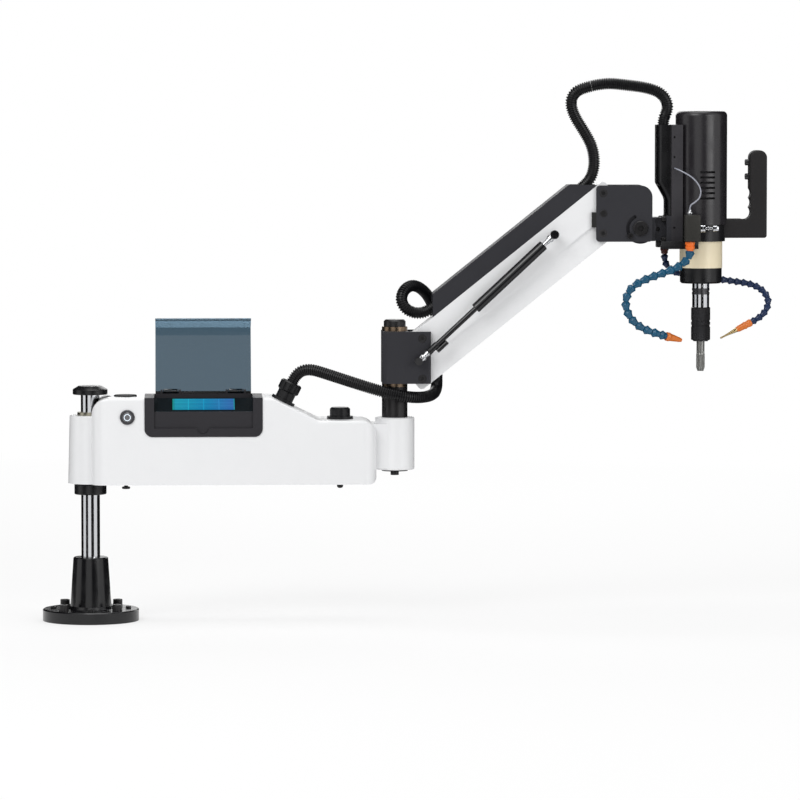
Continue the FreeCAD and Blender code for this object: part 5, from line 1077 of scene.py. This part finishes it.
def knurl(material, along, across_a, across_b, grooves, pitch, depth):
    """Two slanted sets of grooves about an axis; across_a and across_b are (socket, centre)."""
    tree = material.node_tree
    a = math_node(tree, "SUBTRACT", *across_a)
    b = math_node(tree, "SUBTRACT", *across_b)
    turn = math_node(tree, "MULTIPLY", math_node(tree, "ARCTAN2", a, b), grooves)
    rise = math_node(tree, "MULTIPLY", along, 2 * math.pi / pitch)
    left = sine(tree, math_node(tree, "ADD", turn, rise))
    right = sine(tree, math_node(tree, "SUBTRACT", turn, rise))
    return grooved(material, math_node(tree, "MULTIPLY", left, right), depth)


HEAD_AXIS_X = 1.145
KNURL_GROOVES = 40
KNURL_PITCH = 0.0030
GROOVE_DEPTH = 0.0003
THREAD_TOP = 0.496
THREAD_PITCH = 0.002
sleeve_steel = finish(
    "knurled sleeve", (0.016, 0.016, 0.018), 0.26, metal=0.6, grain=900, depth=0.00001, drift=0.1
)
x, y, z = axis_parts(sleeve_steel.node_tree)
knurl(sleeve_steel, z, (x, HEAD_AXIS_X), (y, 0.0), KNURL_GROOVES, KNURL_PITCH, GROOVE_DEPTH)
wear("chuck_sleeve", material=sleeve_steel)

thread_steel = finish(
    "threaded steel", (0.26, 0.26, 0.25), 0.3, metal=1.0, grain=200, depth=0.00001, drift=0.08
)
x, y, z = axis_parts(thread_steel.node_tree)
tree = thread_steel.node_tree
below = math_node(tree, "LESS_THAN", z, THREAD_TOP)
thread = sine(tree, math_node(tree, "MULTIPLY", z, 2 * math.pi / THREAD_PITCH))
grooved(thread_steel, math_node(tree, "MULTIPLY", thread, below), GROOVE_DEPTH)
wear("tap", material=thread_steel)

# %% [markdown]
# ### Smoky lid and lit display
#
# The lid is a folded sheet of tinted acrylic. Alpha would fade it like a ghost; transmission with a
# tint keeps its gloss and darkens what is behind it, twice as much where the fold doubles the sheet.
# The display gives light of its own, so its colour is set as emission, with a faint grid of keys.

# %% Lid
smoky_acrylic = finish(
    "smoky acrylic", (0.060, 0.102, 0.138), 0.05, grain=40, depth=0.000002, drift=0.03,
    gloss_drift=0.02,
)
lid_shader = smoky_acrylic.node_tree.nodes["Principled BSDF"]
lid_shader.inputs["Transmission Weight"].default_value = 1.0
lid_shader.inputs["IOR"].default_value = 1.49
wear("lid_sheet", *leaves, material=smoky_acrylic)

# %% Display
SCREEN_SPAN = (0.1537, 0.2697)
SCREEN_GLOW = 0.9
KEY_SHIFT = (-155.0, 52.0, 0)    # millimetres that bring the keys' corner to the screen's
KEY_WIDTH = 28.5
KEY_HEIGHT = 19.0
KEY_GAP = 0.8
WASH = (
    (0.0, (0.002, 0.16, 0.12)),
    (0.05, (0.010, 0.32, 0.42)),
    (0.55, (0.004, 0.22, 0.42)),
    (0.97, (0.030, 0.13, 0.40)),
    (1.0, (0.004, 0.20, 0.22)),
)
screen = finish("display", (0.004, 0.02, 0.04), 0.5, grain=300, depth=0.000002, drift=0.05, shine=0.05)
tree = screen.node_tree
shader = tree.nodes["Principled BSDF"]
x, y, z = axis_parts(tree)
across = tree.nodes.new("ShaderNodeMapRange")
across.inputs["From Min"].default_value = SCREEN_SPAN[0]
across.inputs["From Max"].default_value = SCREEN_SPAN[1]
linked(tree, x, across.inputs["Value"])
wash = tree.nodes.new("ShaderNodeValToRGB")
wash.color_ramp.elements[0].position = WASH[0][0]
wash.color_ramp.elements[1].position = WASH[-1][0]
for place, colour in WASH[1:-1]:
    wash.color_ramp.elements.new(place)
for stop, (place, colour) in zip(wash.color_ramp.elements, WASH):
    stop.color = (*colour, 1)
linked(tree, across.outputs["Result"], wash.inputs["Fac"])

coords = tree.nodes.new("ShaderNodeTexCoord").outputs["Object"]
to_mm = tree.nodes.new("ShaderNodeMapping")
to_mm.inputs["Scale"].default_value = (1000, 1000, 1000)
to_mm.inputs["Location"].default_value = KEY_SHIFT
linked(tree, coords, to_mm.inputs["Vector"])
keys = tree.nodes.new("ShaderNodeTexBrick")
keys.offset = 0.0
keys.inputs["Color1"].default_value = (0.75, 0.85, 0.9, 1)
keys.inputs["Color2"].default_value = (1.0, 1.0, 1.0, 1)
keys.inputs["Mortar"].default_value = (1.6, 1.5, 1.35, 1)
keys.inputs["Scale"].default_value = 1.0
keys.inputs["Mortar Size"].default_value = KEY_GAP
keys.inputs["Brick Width"].default_value = KEY_WIDTH
keys.inputs["Row Height"].default_value = KEY_HEIGHT
linked(tree, to_mm.outputs["Vector"], keys.inputs["Vector"])
lit_keys = tree.nodes.new("ShaderNodeMix")
lit_keys.data_type = "RGBA"
lit_keys.blend_type = "MULTIPLY"
lit_keys.inputs["Factor"].default_value = 1.0
linked(tree, wash.outputs["Color"], lit_keys.inputs["A"])
linked(tree, keys.outputs["Color"], lit_keys.inputs["B"])
linked(tree, lit_keys.outputs["Result"], shader.inputs["Emission Color"])
shader.inputs["Emission Strength"].default_value = SCREEN_GLOW
wear("display", material=screen)

# %% [markdown]
# ## Power button
#
# The button is a plain metal disc with a ring of light let into its face. The ring is spun from a
# small profile and turned to face the front.

# %% Button and its light
button_steel = finish(
    "button steel", (0.20, 0.20, 0.21), 0.3, metal=1.0, grain=600, depth=0.00001, drift=0.05
)
wear("power_button", material=button_steel)
button_low, button_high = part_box("power_button")
button_middle = Vector(
    ((button_low[0] + button_high[0]) / 2, button_low[1], (button_low[2] + button_high[2]) / 2)
)
LIGHT_PROFILE = [(5.0, -0.3), (5.1, 0.15), (6.4, 0.15), (6.5, -0.3), (5.0, -0.3)]
light_ring = spun([(radius * MM, height * MM) for radius, height in LIGHT_PROFILE], 40)
to_front = Matrix.Translation(button_middle) @ Matrix.Rotation(math.radians(90), 4, "X")
bmesh.ops.transform(light_ring, matrix=to_front, verts=light_ring.verts)
power_light = smooth(new_object("power_light_ring", light_ring))
ring_glow = finish("ring light", (0.75, 0.82, 0.88), 0.3, grain=500, depth=0.000005, drift=0.03)
glow_shader = ring_glow.node_tree.nodes["Principled BSDF"]
glow_shader.inputs["Emission Color"].default_value = (0.7, 0.85, 1.0, 1)
glow_shader.inputs["Emission Strength"].default_value = 0.3
wear("power_light_ring", material=ring_glow)
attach(power_light, "power_switch")
print("power button at", button_middle)

# %% [markdown]
# ## Small screws
#
# The side plates carry one more socket screw each, between the two link pins. A head is a short drum
# with a six-sided recess: a circle of twenty-four is bridged to one of six, which then goes down.

# %% Socket heads
def edges_of(verts):
    """Edges with both ends among these points."""
    found = set(verts)
    inner = [edge for vert in verts for edge in vert.link_edges if edge.other_vert(vert) in found]
    return list(dict.fromkeys(inner))


def socket_head(radius, height):
    """Drum with a hexagonal recess in its top, standing on z = 0."""
    bm = bmesh.new()
    foot = bmesh.ops.create_circle(bm, segments=24, radius=radius)["verts"]
    raised = bmesh.ops.extrude_edge_only(bm, edges=edges_of(foot))["geom"]
    shoulder = [item for item in raised if isinstance(item, bmesh.types.BMVert)]
    bmesh.ops.translate(bm, verts=shoulder, vec=(0, 0, height * 0.8))
    raised = bmesh.ops.extrude_edge_only(bm, edges=edges_of(shoulder))["geom"]
    rim = [item for item in raised if isinstance(item, bmesh.types.BMVert)]
    bmesh.ops.translate(bm, verts=rim, vec=(0, 0, height * 0.2))
    bmesh.ops.scale(bm, verts=rim, vec=(0.92, 0.92, 1))
    key = bmesh.ops.create_circle(bm, segments=6, radius=radius * 0.52)["verts"]
    bmesh.ops.translate(bm, verts=key, vec=(0, 0, height))
    bmesh.ops.bridge_loops(bm, edges=edges_of(rim) + edges_of(key))
    sunk = bmesh.ops.extrude_edge_only(bm, edges=edges_of(key))["geom"]
    bottom = [item for item in sunk if isinstance(item, bmesh.types.BMVert)]
    bmesh.ops.translate(bm, verts=bottom, vec=(0, 0, -height * 0.6))
    bmesh.ops.edgeloop_fill(bm, edges=edges_of(bottom))
    bmesh.ops.edgeloop_fill(bm, edges=edges_of(foot))
    bmesh.ops.recalc_face_normals(bm, faces=bm.faces)
    return bm


SCREW_RADIUS = 0.0064
SCREW_HEIGHT = 0.0018
SCREW_X = 0.9585
SCREW_Z = 0.7622
plate_low, plate_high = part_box("side_plates")
plate_seats = [
    ((SCREW_X, plate_low[1], SCREW_Z), (0, -1, 0)),
    ((SCREW_X, plate_high[1], SCREW_Z), (0, 1, 0)),
]
plate_screws = strung("plate_screws", socket_head(SCREW_RADIUS, SCREW_HEIGHT), plate_seats, 35)
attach(plate_screws, "head_frame")
wear("plate_screws", material=black_oxide)

# %% [markdown]
# ## Finish
#
# Any CAD part still shown with its plain material is named.

# %% Plain materials left
for node in nodes.values():
    if not node.hide_render and node.data.materials and node.data.materials[0].name.startswith("slot"):
        print("plain material left on", node.name)
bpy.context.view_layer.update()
